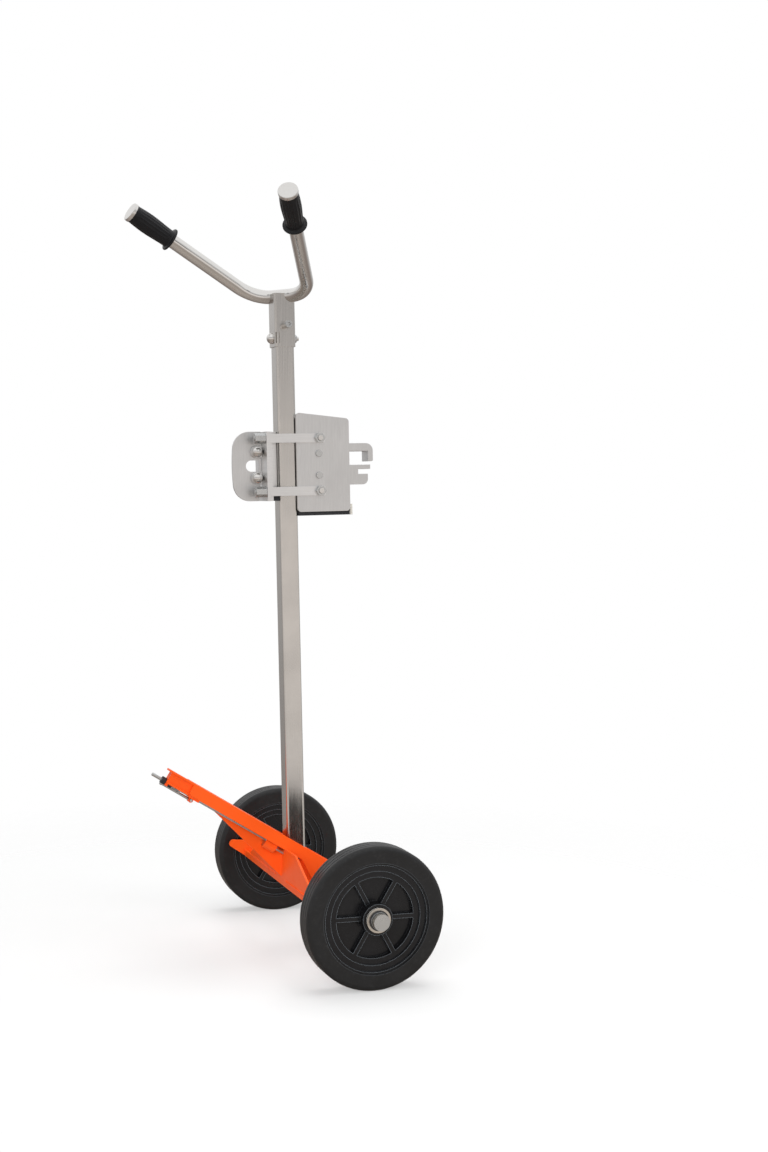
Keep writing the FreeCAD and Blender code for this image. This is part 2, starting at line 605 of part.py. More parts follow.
def mast_set():
    """Foot with its hub, socket, bush and bolt, and the mast tube."""
    ax, az = from_world(0, AXLE_Z)
    inner = MAST_W / 2 + SLIDE
    socket = box(-SOCKET_HALF, SOCKET_HALF, -SOCKET_HALF, SOCKET_HALF, SOCKET_BOTTOM, SOCKET_TOP)
    upright = [e for e in socket.Edges if abs(e.Vertexes[0].Z - e.Vertexes[-1].Z) > NEAR]
    socket = socket.makeFillet(SOCKET_WALL, upright)
    socket = socket.cut(box(-inner, inner, -inner, inner, MAST_BOTTOM, SOCKET_TOP))
    bolt_hole = cross_rod(0, FOOT_BOLT_Z, -2 * FOOT_HALF, 2 * FOOT_HALF, FOOT_BOLT_R)
    latch_hole = rod(lever_point(LATCH_TIP_U + LATCH_PIN_R, ROD_Y, LATCH_PIN_W), -LEVER_BACK,
                     LATCH_TRAVEL + 2 * LATCH_PIN_R, LATCH_PIN_R + 2 * SLIDE)
    latch_hole.translate(V(-MAST_FOOT_X, 0, 0))
    latch_hole.rotate(V(0, 0, 0), Y_AXIS, MAST_LEAN)
    keep_on_mast("mast_socket", socket.cut(bolt_hole).cut(latch_hole))

    hub_back = cross_rod(ax, az, -FOOT_HALF, FOOT_HALF, HUB_TUBE_R)
    cheeks = []
    for side in SIDES:
        y0, y1 = sorted((side * SOCKET_HALF, side * FOOT_HALF))
        cheek = prism([(-SOCKET_HALF, SOCKET_BOTTOM), (-SOCKET_HALF, FOOT_BOLT_Z - 2 * NUT_T),
                       (SOCKET_HALF, FOOT_BOLT_Z - 2 * NUT_T), (ax + HUB_TUBE_R / 2, az + HUB_TUBE_R / 2),
                       (ax, az - HUB_TUBE_R / 2)], y0, y1)
        cheeks.append(cheek.cut(hub_back))

    bush_r = AXLE_R + RUN + HUB_BUSH_WALL
    hub = cross_ring(ax, az, -FOOT_HALF, FOOT_HALF, HUB_TUBE_R, bush_r)
    keep_on_mast("mast_hub_tube", hub)
    keep_on_mast("mast_hub_bush", cross_ring(ax, az, -FOOT_HALF, FOOT_HALF, bush_r, AXLE_R + RUN))
    rib = prism([(SOCKET_HALF, SOCKET_BOTTOM), (SOCKET_HALF, FOOT_BOLT_Z - 2 * NUT_T), (ax, az)],
                -SOCKET_HALF, SOCKET_HALF).cut(hub_back)
    rib = rib.cut(box(-SOCKET_HALF, SOCKET_HALF, -MAST_W, MAST_W, 0, SOCKET_TOP))
    keep_on_mast("mast_foot_plates", rib, *cheeks)

    tube = square_tube(MAST_W / 2, MAST_T, MAST_R, MAST_BOTTOM, MAST_TOP)
    tube = tube.cut(bolt_hole).cut(latch_hole)
    sleeve_hole = cross_rod(SLEEVE_SCREW_X, SLEEVE_SCREW_Z, -MAST_W, MAST_W, SCREW_R)
    dome_hole = rod(V(-MAST_W, 0, DOME_Z), X_AXIS, 2 * MAST_W, SCREW_R)
    keep_on_mast("mast_tube", tube.cut(sleeve_hole).cut(dome_hole))

    bolt_l = FOOT_HALF - APART
    shank = cross_rod(0, FOOT_BOLT_Z, -SOCKET_HALF, SOCKET_HALF, FOOT_BOLT_R)
    head = cross_rod(0, FOOT_BOLT_Z, SOCKET_HALF, bolt_l, 2 * FOOT_BOLT_R)
    foot = cross_rod(0, FOOT_BOLT_Z, -bolt_l, -SOCKET_HALF, 2 * FOOT_BOLT_R)
    keep_on_mast("mast_foot_bolt", shank.fuse([head, foot]).removeSplitter())


def bar_points():
    """Crossbar and arm corners from the left tip to the right tip, in the mast's frame."""
    points = [V(-ARM_BACK, ARM_OUT, ARM_UP), V(0, BAR_HALF, 0)]
    points += [V(p.x, -p.y, p.z) for p in reversed(points)]
    turn = FreeCAD.Rotation(V(0, 0, 1), BAR_TURN)
    return [turn.multVec(p) + V(0, 0, BAR_Z) for p in points]


def bar_wire(points):
    """Straight runs joined by tangent arcs of the bend radius."""
    edges = []
    start = points[0]
    for a, corner, b in zip(points, points[1:], points[2:]):
        back = (a - corner).normalize()
        ahead = (b - corner).normalize()
        half = math.acos(back.dot(ahead)) / 2
        cut = BAR_BEND_R / math.tan(half)
        centre = corner + (back + ahead).normalize() * (BAR_BEND_R / math.sin(half))
        mid = centre + (corner - centre).normalize() * BAR_BEND_R
        first, last = corner + back * cut, corner + ahead * cut
        edges.append(Part.LineSegment(start, first).toShape())
        edges.append(Part.Arc(first, mid, last).toShape())
        start = last
    edges.append(Part.LineSegment(start, points[-1]).toShape())
    return Part.Wire(edges)


def tube_along(wire, radius):
    first = wire.Edges[0]
    direction = first.tangentAt(first.FirstParameter)
    start = first.valueAt(first.FirstParameter)
    return wire.makePipeShell([Part.Wire(Part.Circle(start, direction, radius).toShape())], True, False)


def handle_set():
    """Sleeve on the mast top, its screws, the bent handlebar, grips and end caps."""
    points = bar_points()
    wire = bar_wire(points)
    outer = tube_along(wire, BAR_R)
    bar = outer.cut(tube_along(wire, BAR_R - BAR_T))
    keep_on_mast("handlebar", bar)

    sleeve = square_tube(SLEEVE_HALF, SLEEVE_WALL, MAST_R, SLEEVE_BOTTOM, SLEEVE_TOP).cut(outer)
    notch = box(-SLEEVE_HALF, -SLEEVE_HALF + NOTCH_W, -SLEEVE_HALF, -SLEEVE_HALF + SLEEVE_WALL,
                DOME_Z - NOTCH_H / 2, DOME_Z + NOTCH_H / 2)
    sleeve = sleeve.cut(notch)
    sleeve = sleeve.cut(cross_rod(SLEEVE_SCREW_X, SLEEVE_SCREW_Z, -2 * MAST_W, 2 * MAST_W, SCREW_R))
    sleeve = sleeve.cut(rod(V(-2 * MAST_W, 0, DOME_Z), X_AXIS, 4 * MAST_W, SCREW_R))
    pieces = sorted(sleeve.Solids, key=lambda s: s.Volume)
    keep_on_mast("handle_sleeve", pieces[-1])

    y_face = -SLEEVE_HALF
    spacer = cross_ring(SLEEVE_SCREW_X, SLEEVE_SCREW_Z, y_face - SPACER_L, y_face, SPACER_R, SCREW_R)
    keep_on_mast("sleeve_spacer", spacer)
    head_y = y_face - SPACER_L
    shank = cross_rod(SLEEVE_SCREW_X, SLEEVE_SCREW_Z, head_y, SLEEVE_HALF, SCREW_R)
    head = cross_rod(SLEEVE_SCREW_X, SLEEVE_SCREW_Z, head_y - SCREW_HEAD_T, head_y, SCREW_HEAD_R)
    key = hexagon(V(SLEEVE_SCREW_X, head_y - SCREW_HEAD_T, SLEEVE_SCREW_Z), Y_AXIS, SCREW_HEAD_T / 2,
                  2 * SCREW_SOCKET_R)
    tail = cross_rod(SLEEVE_SCREW_X, SLEEVE_SCREW_Z, SLEEVE_HALF, SLEEVE_HALF + NUT_T + SCREW_R, SCREW_R)
    screw = shank.fuse([head, tail]).removeSplitter().cut(key)
    nut = hexagon(V(SLEEVE_SCREW_X, SLEEVE_HALF, SLEEVE_SCREW_Z), Y_AXIS, NUT_T, 2 * SCREW_HEAD_R)
    nut = nut.cut(cross_rod(SLEEVE_SCREW_X, SLEEVE_SCREW_Z, 0, 2 * MAST_W, SCREW_R))
    keep_on_mast("sleeve_screw", screw)

    dome = Part.makeSphere(DOME_R, V(-SLEEVE_HALF, 0, DOME_Z))
    dome = dome.common(box(-SLEEVE_HALF - 2 * DOME_R, -SLEEVE_HALF, -DOME_R, DOME_R,
                           DOME_Z - DOME_R, DOME_Z + DOME_R))
    stem = rod(V(-SLEEVE_HALF, 0, DOME_Z), X_AXIS, 2 * SLEEVE_HALF + NUT_T + SCREW_R, SCREW_R)
    keep_on_mast("sleeve_dome_bolt", dome.fuse(stem).removeSplitter())
    nut2 = hexagon(V(SLEEVE_HALF, 0, DOME_Z), X_AXIS, NUT_T, 2 * SCREW_HEAD_R)
    nut2 = nut2.cut(rod(V(0, 0, DOME_Z), X_AXIS, 2 * MAST_W, SCREW_R))
    keep_on_mast("sleeve_nuts", nut, nut2)

    for name, tip, inner in (("left", points[0], points[1]), ("right", points[-1], points[-2])):
        inward = (inner - tip).normalize()
        turn = FreeCAD.Rotation(V(0, 0, 1), inward)
        grip = grip_body()
        cap = rod(V(0, 0, -CAP_T), V(0, 0, 1), CAP_T, CAP_R)
        rim = [e for e in cap.Edges if len(e.Vertexes) == 1 and e.Vertexes[0].Z < -CAP_EDGE]
        cap = cap.makeFillet(CAP_EDGE, rim)
        plug = rod(V(0, 0, 0), V(0, 0, 1), CAP_PLUG, BAR_R - BAR_T)
        for node, shape in ((name + "_grip", grip), (name + "_grip_cap", cap.fuse(plug).removeSplitter())):
            shape.Placement = FreeCAD.Placement(tip, turn)
            keep_on_mast(node, shape)


def grip_body():
    """A ribbed, slightly waisted grip from the tip inwards, with a flange at its inner end."""
    end = GRIP_L - GRIP_FLANGE_T
    profile = [V(BAR_R, 0, 0), V(GRIP_R - GRIP_WAIST, 0, 0)]
    swell = Part.Arc(profile[1], V(GRIP_R, 0, end * GRIP_BELLY), V(GRIP_R - GRIP_WAIST, 0, end)).toShape()
    rest = [V(GRIP_R - GRIP_WAIST, 0, end), V(GRIP_FLANGE_R, 0, end), V(GRIP_FLANGE_R, 0, GRIP_L),
            V(BAR_R, 0, GRIP_L), V(BAR_R, 0, 0)]
    edges = [Part.makeLine(profile[0], profile[1]), swell]
    edges += [Part.makeLine(a, b) for a, b in zip(rest, rest[1:])]
    body = Part.Face(Part.Wire(edges)).revolve(V(0, 0, 0), V(0, 0, 1), 360)
    for k in range(GRIP_RIBS):
        angle = 2 * math.pi * k / GRIP_RIBS
        place = V(GRIP_R * math.cos(angle), GRIP_R * math.sin(angle), GRIP_FLANGE_T)
        body = body.cut(rod(place, V(0, 0, 1), end - 2 * GRIP_FLANGE_T, GRIP_RIB_R))
    return body


def head_set():
    """Cheek plates, straps, yoke and fasteners of the sliding gripper head."""
    outline = [(HEAD_BACK, HEAD_BOTTOM), (HEAD_BACK, HEAD_TOP_BACK), (HEAD_FRONT, HEAD_TOP_FRONT),
               (HEAD_FRONT, HEAD_BOTTOM)]
    holes = [(PIN_X, z, PIN_R) for z in PIN_ZS] + [(STRAP_BOLT_X, z, STRAP_BOLT_R) for z in STRAP_ZS]
    cheeks, straps, studs, nuts, pads, spacers, bolts, bolt_nuts = [], [], [], [], [], [], [], []
    for side in SIDES:
        y0, y1 = sorted((side * HEAD_IN, side * STRAP_IN))
        cheek = prism(outline, y0, y1)
        for place in outline:
            cheek = round_at(cheek, HEAD_CORNER, place)
        for x, z, radius in holes:
            cheek = cheek.cut(cross_rod(x, z, y0, y1, radius))
        cheeks.append(cheek)
        s0, s1 = sorted((side * STRAP_IN, side * STRAP_OUT))
        for z in STRAP_ZS:
            strap = box(YOKE_BACK + YOKE_T, STRAP_FRONT, s0, s1, z - STRAP_H / 2, z + STRAP_H / 2)
            straps.append(strap.cut(cross_rod(STRAP_BOLT_X, z, s0, s1, STRAP_BOLT_R)))
            stud_y = side * (STRAP_IN + STRAP_T / 2)
            stud_back = YOKE_BACK - 2 * HEX_T - STUD_PAST
            studs.append(rod(V(stud_back, stud_y, z), X_AXIS, YOKE_BACK + YOKE_T - stud_back, STUD_R))
            for k in (1, 2):
                nut = hexagon(V(YOKE_BACK - k * HEX_T, stud_y, z), X_AXIS, HEX_T, HEX_AF)
                nuts.append(nut.cut(rod(V(YOKE_BACK - 3 * HEX_T, stud_y, z), X_AXIS, 3 * HEX_T, STUD_R)))
            p0, p1 = sorted((side * (MAST_W / 2 + HEAD_FIT), side * STRAP_IN))
            pads.append(box(-PAD_X / 2, PAD_X / 2, p0, p1, z - STRAP_H / 2, z + STRAP_H / 2))
    keep_on_mast("head_cheeks", *cheeks)
    keep_on_mast("head_straps", *straps)
    keep_on_mast("strap_studs", *studs)
    keep_on_mast("slide_pads", *pads)

    for z in STRAP_ZS:
        spacers.append(cross_ring(STRAP_BOLT_X, z, -HEAD_IN, HEAD_IN, SPACER_TUBE_R, STRAP_BOLT_R))
        shank = cross_rod(STRAP_BOLT_X, z, -STRAP_OUT - NUT_T - STRAP_BOLT_R / 2, STRAP_OUT, STRAP_BOLT_R)
        far = hexagon(V(STRAP_BOLT_X, STRAP_OUT, z), Y_AXIS, BOLT_HEAD_T, HEX_AF)
        bolts.append(shank.fuse(far).removeSplitter())
        near = hexagon(V(STRAP_BOLT_X, -STRAP_OUT - NUT_T, z), Y_AXIS, NUT_T, HEX_AF)
        bolt_nuts.append(near.cut(cross_rod(STRAP_BOLT_X, z, -2 * STRAP_OUT, 0, STRAP_BOLT_R)))
    keep_on_mast("strap_bolts", *bolts)
    keep_on_mast("head_nuts", *nuts, *bolt_nuts)
    keep_on_mast("head_spacers", *spacers)

    z0, z1 = YOKE_BOTTOM, STRAP_ZS[1] + STRAP_H / 2 + YOKE_OVER / 2
    half = STRAP_OUT + YOKE_OVER
    yoke = box(YOKE_BACK, YOKE_BACK + YOKE_T, -half, half, z0, z1)
    rib = YOKE_RIB / 2
    yoke = yoke.fuse(box(YOKE_BACK + YOKE_T, -MAST_W / 2 - APART, -rib, rib, z0 + STRAP_H, z1))
    for side in SIDES:
        f0, f1 = sorted((side * HEAD_IN, side * STRAP_IN))
        yoke = yoke.fuse(box(YOKE_BACK + YOKE_T, YOKE_BACK + YOKE_T + YOKE_FLANGE, f0, f1, z0, z1))
        for z in STRAP_ZS:
            yoke = yoke.cut(rod(V(YOKE_BACK, side * (STRAP_IN + STRAP_T / 2), z), X_AXIS, YOKE_T, STUD_R))
    keep_on_mast("head_yoke", yoke.removeSplitter())
    rear_pad = box(YOKE_BACK + YOKE_T, -MAST_W / 2 - HEAD_FIT, -MAST_W / 2, MAST_W / 2, z0, z0 + STRAP_H)
    block_z = HEAD_BOTTOM - BLOCK_DROP
    lining = box(MAST_W / 2 + HEAD_FIT, HEAD_BACK + 2 * HEAD_T, -HEAD_IN, HEAD_IN, block_z + BLOCK_H,
                 HEAD_TOP_BACK - 2 * HEAD_T)
    keep_on_mast("brake_pads", rear_pad, lining)

    block = box(MAST_W / 2 + HEAD_FIT, HEAD_FRONT, -HEAD_IN, HEAD_IN, block_z, block_z + BLOCK_H)
    keep_on_mast("head_block", block)
    pad = box(HEAD_FRONT, HEAD_FRONT + FRONT_PAD_T, -STRAP_IN, STRAP_IN, block_z, block_z + FRONT_PAD_H)
    keep_on_mast("front_pad", pad)

    pins = []
    for z in PIN_ZS:
        pin = cross_rod(PIN_X, z, -STRAP_IN, STRAP_IN, PIN_R)
        for side in SIDES:
            h0, h1 = sorted((side * STRAP_IN, side * (STRAP_IN + PIN_HEAD_T)))
            pin = pin.fuse(cross_rod(PIN_X, z, h0, h1, PIN_HEAD_R))
        pins.append(pin.removeSplitter())
    keep_on_mast("jaw_pins", *pins)


def jaw_set():
    """The hooked upper jaw and the grooved lower jaw, each on its pin."""
    half = HEAD_IN - JAW_SIDE
    low_z, high_z = PIN_ZS
    back = PIN_X - 3 * PIN_R
    front = PIN_X + 2 * PIN_R
    upper = prism([(back, high_z - 2 * PIN_R), (back, high_z + 2 * PIN_R), (front, high_z + 2 * PIN_R),
                   (HEAD_FRONT, JAW_TOP_Z), (JAW_NOSE_X, JAW_TOP_Z), (JAW_NOSE_X, JAW_NOSE_Z),
                   (JAW_NOSE_X - JAW_NOSE_T, JAW_NOSE_Z), (JAW_NOSE_X - JAW_NOSE_T, JAW_UNDER_Z),
                   (HEAD_FRONT, JAW_UNDER_Z), (front, high_z - 2 * PIN_R)], -half, half)
    upper = round_at(upper, JAW_TOP_CORNER, (JAW_NOSE_X, JAW_TOP_Z))
    upper = round_at(upper, JAW_NOSE_CORNER, (JAW_NOSE_X, JAW_NOSE_Z))
    keep_on_mast("upper_jaw", upper.cut(cross_rod(PIN_X, high_z, -half, half, PIN_R + RUN)))

    lower = prism([(back, low_z - 2 * PIN_R), (back, low_z + 2 * PIN_R), (HEAD_FRONT, LOWER_TOP_Z),
                   (LOWER_TIP_X, LOWER_TOP_Z), (LOWER_TIP_X, GROOVE_Z), (LOBE_TIP_X, GROOVE_Z),
                   (LOBE_TIP_X, LOWER_FOOT_Z), (HEAD_FRONT, LOWER_FOOT_Z), (front, low_z - 2 * PIN_R)],
                  -half, half)
    lower = round_at(lower, LOBE_CORNER, (LOBE_TIP_X, LOWER_FOOT_Z))
    groove_z = GROOVE_Z - GROOVE_H / 2
    lower = lower.cut(box(LOWER_TIP_X - GROOVE_D, LOWER_TIP_X, -half, half, groove_z, groove_z + GROOVE_H))
    keep_on_mast("lower_jaw", lower.cut(cross_rod(PIN_X, low_z, -half, half, PIN_R + RUN)))


def release_set():
    """The finger plate behind the head, its lugs, bolts and dome nuts."""
    half = PLATE_T / 2
    low_z, high_z = LUG_ZS
    rear = PLATE_BACK + PLATE_BULGE
    toe = YOKE_BACK - APART - (low_z - PLATE_BOTTOM) * math.sin(math.radians(PLATE_SWING))
    outline = [(rear, PLATE_TOP), (PLATE_FRONT, PLATE_TOP), (PLATE_FRONT, low_z), (toe, PLATE_BOTTOM),
               (rear, PLATE_BOTTOM)]
    corners = [V(x, -half, z) for x, z in outline]
    edges = [Part.makeLine(a, b) for a, b in zip(corners, corners[1:])]
    bulge = V(PLATE_BACK, -half, (PLATE_TOP + PLATE_BOTTOM) / 2)
    edges.append(Part.Arc(corners[-1], bulge, corners[0]).toShape())
    plate = Part.Face(Part.Wire(edges)).extrude(V(0, PLATE_T, 0))
    for z in (PLATE_TOP, PLATE_BOTTOM):
        plate = round_at(plate, PLATE_CORNER, (rear, z))
    radius = LUG_BOLT_R + 2 * APART
    notch = cross_rod(LUG_X, high_z, -half, half, radius)
    notch = notch.fuse(box(LUG_X, YOKE_BACK, -half, half, high_z - radius, high_z + radius))
    finger_r = HOLE_H / 2
    finger = cross_rod(HOLE_BACK + finger_r, HOLE_Z, -half, half, finger_r)
    finger = finger.fuse(box(HOLE_BACK + finger_r, HOLE_FRONT, -half, half, HOLE_Z - finger_r,
                             HOLE_Z + finger_r))
    plate = plate.cut(notch).cut(finger).cut(cross_rod(LUG_X, low_z, -half, half, LUG_BOLT_R + RUN))
    keep_on_mast("release_plate", plate)

    lugs, bolts, domes = [], [], []
    for z in LUG_ZS:
        for side in SIDES:
            y0, y1 = sorted((side * (half + APART), side * (half + APART + LUG_T)))
            lug = box(LUG_X, YOKE_BACK, y0, y1, z - LUG_R, z + LUG_R).fuse(cross_rod(LUG_X, z, y0, y1, LUG_R))
            lug = lug.removeSplitter().cut(box(YOKE_BACK, YOKE_BACK + LUG_R, y0, y1, z - LUG_R, z + LUG_R))
            lugs.append(lug.cut(cross_rod(LUG_X, z, y0, y1, LUG_BOLT_R)))
        out = half + APART + LUG_T
        shank = cross_rod(LUG_X, z, -out, out, LUG_BOLT_R)
        bolts.append(shank.fuse(cross_rod(LUG_X, z, out, out + BOLT_HEAD_T, 2 * LUG_BOLT_R)).removeSplitter())
        collar = cross_rod(LUG_X, z, -out - BOLT_HEAD_T, -out, DOME_R)
        ball = Part.makeSphere(DOME_R, V(LUG_X, -out - BOLT_HEAD_T, z))
        face = -out - BOLT_HEAD_T
        ball = ball.common(box(LUG_X - DOME_R, LUG_X + DOME_R, face - DOME_R, face,
                               z - DOME_R, z + DOME_R))
        domes.append(collar.fuse(ball).removeSplitter())
    keep_on_mast("release_lugs", *lugs)
    keep_on_mast("release_bolts", *bolts)
    keep_on_mast("dome_nuts", *domes)


def build():
    axle_set()
    for side, name in zip(SIDES, ("right", "left")):
        wheel(side, name)
    frame_set()
    latch_set()
    mast_set()
    handle_set()
    head_set()
    jaw_set()
    release_set()
    os.makedirs("parts", exist_ok=True)
    for name, shape in sorted(NODES.items()):
        valid = shape.isValid() and all(s.Volume > 0 for s in shape.Solids) and len(shape.Solids) > 0
        print(name, len(shape.Solids), "solids", round(shape.Volume), "mm3", "" if valid else "INVALID")
        shape.exportStep("parts/" + name + ".step")


build()
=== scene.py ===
"""Looks of the drum trolley: finishes, weld seams, screw threads, moulded grips and the studio."""
import math

import bmesh
import bpy
from bpy.props import FloatProperty, FloatVectorProperty, PointerProperty
from bpy.types import Operator, Panel, PropertyGroup
from mathutils import Matrix, Vector


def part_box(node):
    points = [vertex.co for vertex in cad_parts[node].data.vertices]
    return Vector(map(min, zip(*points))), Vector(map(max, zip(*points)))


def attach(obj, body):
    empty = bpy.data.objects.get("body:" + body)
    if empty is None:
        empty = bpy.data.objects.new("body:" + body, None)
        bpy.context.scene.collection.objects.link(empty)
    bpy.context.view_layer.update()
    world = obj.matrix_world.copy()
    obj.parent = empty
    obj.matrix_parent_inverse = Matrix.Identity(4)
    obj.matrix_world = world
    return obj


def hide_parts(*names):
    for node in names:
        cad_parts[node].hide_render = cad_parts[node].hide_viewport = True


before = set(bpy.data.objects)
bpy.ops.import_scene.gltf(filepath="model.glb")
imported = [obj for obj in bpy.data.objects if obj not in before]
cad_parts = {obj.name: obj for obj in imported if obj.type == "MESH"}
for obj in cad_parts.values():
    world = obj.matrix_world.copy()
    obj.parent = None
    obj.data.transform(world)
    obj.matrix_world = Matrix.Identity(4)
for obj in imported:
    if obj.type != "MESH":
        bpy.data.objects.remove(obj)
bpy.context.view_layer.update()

bl_info = {
    "name": "Drum trolley looks",
    "version": (1, 0, 0),
    "blender": (4, 5, 0),
    "location": "View3D > Sidebar > Trolley",
    "description": "Finishes, weld seams, threads and grips of a drum trolley, and its studio",
    "category": "Object",
}

MM = 0.001

# The mast stands behind the axle and leans back
MAST_FOOT_X = -44 * MM
MAST_LEAN = math.radians(-2.6)
MAST_FRAME = Matrix.Translation((MAST_FOOT_X, 0, 0)) @ Matrix.Rotation(MAST_LEAN, 4, "Y")

# The foot lever rises to the rear from the axle, in millimetres: u along it, w square to it
AXLE_Z = 125
LEVER_SLOPE = math.radians(31)
WEB_SEAM_U = (272, 135)
WEB_SEAM_Y = 2.6
WEB_SEAM_W = 32
BOSS_SEAM_U = (115, 138)
BOSS_SEAM_Y = -2.6
BOSS_SEAM_W = 9
BOSS_SEAM_R = 6.6

# Seams round the gusset plate and the cross beam
GUSSET_SEAM_Y = 30 * MM
BEAM_END_INSET = 0.4 * MM
BEAM_SEAM_RISE = 2 * MM
WEB_FOOT_Y = 2.4 * MM
WEB_FOOT_RISES = (3 * MM, 52 * MM)
BEAD_SIDES = 8
RIPPLE_STEPS = 4

# Handlebar and grips in the mast's frame, in millimetres; a profile has distances from the tip and radii
HANDLE_TURN = math.radians(37.8)
HANDLE_Z = 1210.2
GRIP_TIP = (-212.2, 168.1, 140.0)
BAR_BEND_Y = 61.3
GRIP_FACE = ((0.2, 13.2), (0.2, 15.8), (0.5, 16.6), (1.2, 17.0))
GRIP_BODY_T = (2, 77)
GRIP_BODY_R = 16.0
GRIP_SWELL = 2.0
GRIP_FLANGE = ((77.6, 16.2), (78.8, 16.9), (79.5, 18.2), (79.9, 19.8), (80.4, 20.9), (81.3, 21.5),
               (82.7, 21.5), (83.5, 20.9), (83.9, 19.8), (84.0, 17.0), (84.0, 13.0))
GRIP_RIB_T = (8, 72)
GRIP_RIB_FADE = 6
GRIP_RIBS = 18
GRIP_SIDES = 144

# Screw ends of the head's strap bolts, in the mast's frame, in millimetres
STRAP_BOLT_X = 57.5
STRAP_BOLT_Y = -36.5
STRAP_BOLT_Z = (853, 950)
STRAP_BOLT_R = 5 * MM
STRAP_THREAD = 2.5 * MM
THREAD_STEPS = 20
THREAD_ROOT = 0.1 * MM

# Rounding of plate edges
JOIN_GAP = 0.005 * MM
FLAT_ANGLE = math.radians(0.4)
SHARP_ANGLE = math.radians(35)
# Width of the painted highlight on the outer edges of rims and tyres
EDGE_HIGHLIGHT_WIDTH = 2 * MM

# Colours that lie over a finish, and the floor as metal shows it
# Darker coat for wear on edges; it also lies in inside corners as painted shade
WORN_AND_SHADED_COAT = (0.42, 0.10, 0.035, 1.0)
DUST = (0.30, 0.29, 0.28, 1.0)
# Painted highlight: a bluish grey laid on outer edges in place of the glint of overhead light
EDGE_HIGHLIGHT_TINT = (0.20, 0.225, 0.25, 1.0)
MIRRORED_FLOOR = (0.44, 0.40, 0.36, 1.0)

# Colours of the room as metal shows it, by height from straight down at 0 to straight up at 1
FRONT_ROOM = ((0.30, (0.42, 0.37, 0.33)), (0.42, (0.90, 0.86, 0.83)), (0.512, (0.98, 0.91, 0.86)),
              (0.53, (0.62, 0.61, 0.60)), (0.57, (0.40, 0.39, 0.39)), (0.66, (0.62, 0.62, 0.62)),
              (0.75, (1, 1, 1)))
REAR_ROOM = ((0.34, (0.26, 0.22, 0.20)), (0.42, (0.38, 0.36, 0.35)), (0.47, (0.48, 0.47, 0.46)),
             (0.56, (0.70, 0.69, 0.69)), (0.72, (1, 1, 1)))

FLOOR_RADIUS = 6.0
FLOOR_DROP = 0.2 * MM
FLOOR_FADE = (0.45, 1.5)
FLOOR_SOLID = 0.6
LIT_POINT = Vector((0, 0, 0.55))

# Sockets of a colour mixing node
MIX_SHARE, MIX_FIRST, MIX_SECOND, MIXED = 0, 6, 7, 2


class TrolleyFinish(PropertyGroup):
    """Colours of the finishes."""
    coat: FloatVectorProperty(name="Orange coat", description="Powder coat of the base", subtype="COLOR",
                              size=3, min=0, max=1, default=(1.0, 0.112, 0.013))
    steel: FloatVectorProperty(name="Stainless steel", description="Mast tube and sleeve", subtype="COLOR",
                               size=3, min=0, max=1, default=(0.62, 0.60, 0.575))
    plate: FloatVectorProperty(name="Plate steel", description="Satin plates and straps of the head",
                               subtype="COLOR", size=3, min=0, max=1, default=(0.74, 0.74, 0.74))
    bright: FloatVectorProperty(name="Bright steel", description="Handlebar, caps, dome nuts and strap bolts",
                                subtype="COLOR", size=3, min=0, max=1, default=(0.78, 0.765, 0.745))
    plated: FloatVectorProperty(name="Plated steel", description="Axle, screws, studs, pins and latch rod",
                                subtype="COLOR", size=3, min=0, max=1, default=(0.60, 0.61, 0.61))
    washer: FloatVectorProperty(name="Washer", description="Pale plated axle washers", subtype="COLOR",
                                size=3, min=0, max=1, default=(0.70, 0.65, 0.58))
    # Near black as painted shade of the gap between the axle end and the washer
    ring_shade: FloatVectorProperty(name="Painted shade on axle rings", description="Axle rings darkened as painted shade of the gap at the axle end", subtype="COLOR",
                               size=3, min=0, max=1, default=(0.10, 0.10, 0.105))
    bronze: FloatVectorProperty(name="Bronze", description="Bush in the mast foot", subtype="COLOR",
                                size=3, min=0, max=1, default=(0.52, 0.33, 0.13))
    tyre: FloatVectorProperty(name="Tyre rubber", description="Solid tyres", subtype="COLOR",
                              size=3, min=0, max=1, default=(0.010, 0.010, 0.0105))
    rim: FloatVectorProperty(name="Rim plastic", description="Moulded rims", subtype="COLOR",
                             size=3, min=0, max=1, default=(0.006, 0.006, 0.007))
    grip: FloatVectorProperty(name="Grip rubber", description="Handle grips", subtype="COLOR",
                              size=3, min=0, max=1, default=(0.008, 0.008, 0.009))
    pad: FloatVectorProperty(name="Front pad", description="Pale pad at the head's lower front",
                             subtype="COLOR", size=3, min=0, max=1, default=(0.55, 0.52, 0.47))
    # Near black: the plastic's own dark tone, and also painted shade where the head block and brake pads fill
    # shaded gaps
    dark: FloatVectorProperty(name="Dark plastic and painted shade", description="Head block, brake pads and rear rod bush",
                              subtype="COLOR", size=3, min=0, max=1, default=(0.025, 0.025, 0.027))
    pale: FloatVectorProperty(name="Pale plastic", description="Wheel bushes and slide pads", subtype="COLOR",
                              size=3, min=0, max=1, default=(0.62, 0.61, 0.57))


class TrolleySizes(PropertyGroup):
    """Sizes of the small added shapes."""
    edge: FloatProperty(name="Edge", description="Rounding of sheared plate edges", unit="LENGTH",
                        default=0.6 * MM, min=0.1 * MM, max=2 * MM)
    bead: FloatProperty(name="Weld bead", description="Radius of the weld seams", unit="LENGTH",
                        default=2.2 * MM, min=0.5 * MM, max=5 * MM)
    ripple: FloatProperty(name="Weld ripple", description="Length of one ripple in a weld seam",
                          unit="LENGTH", default=2.4 * MM, min=0.5 * MM, max=6 * MM)
    pitch: FloatProperty(name="Thread pitch", description="Distance between the turns of a screw thread",
                         unit="LENGTH", default=1.0 * MM, min=0.5 * MM, max=3 * MM)
    grip_rib: FloatProperty(name="Grip rib", description="Height of the ribs on the grips", unit="LENGTH",
                            default=0.7 * MM, min=0, max=2 * MM)


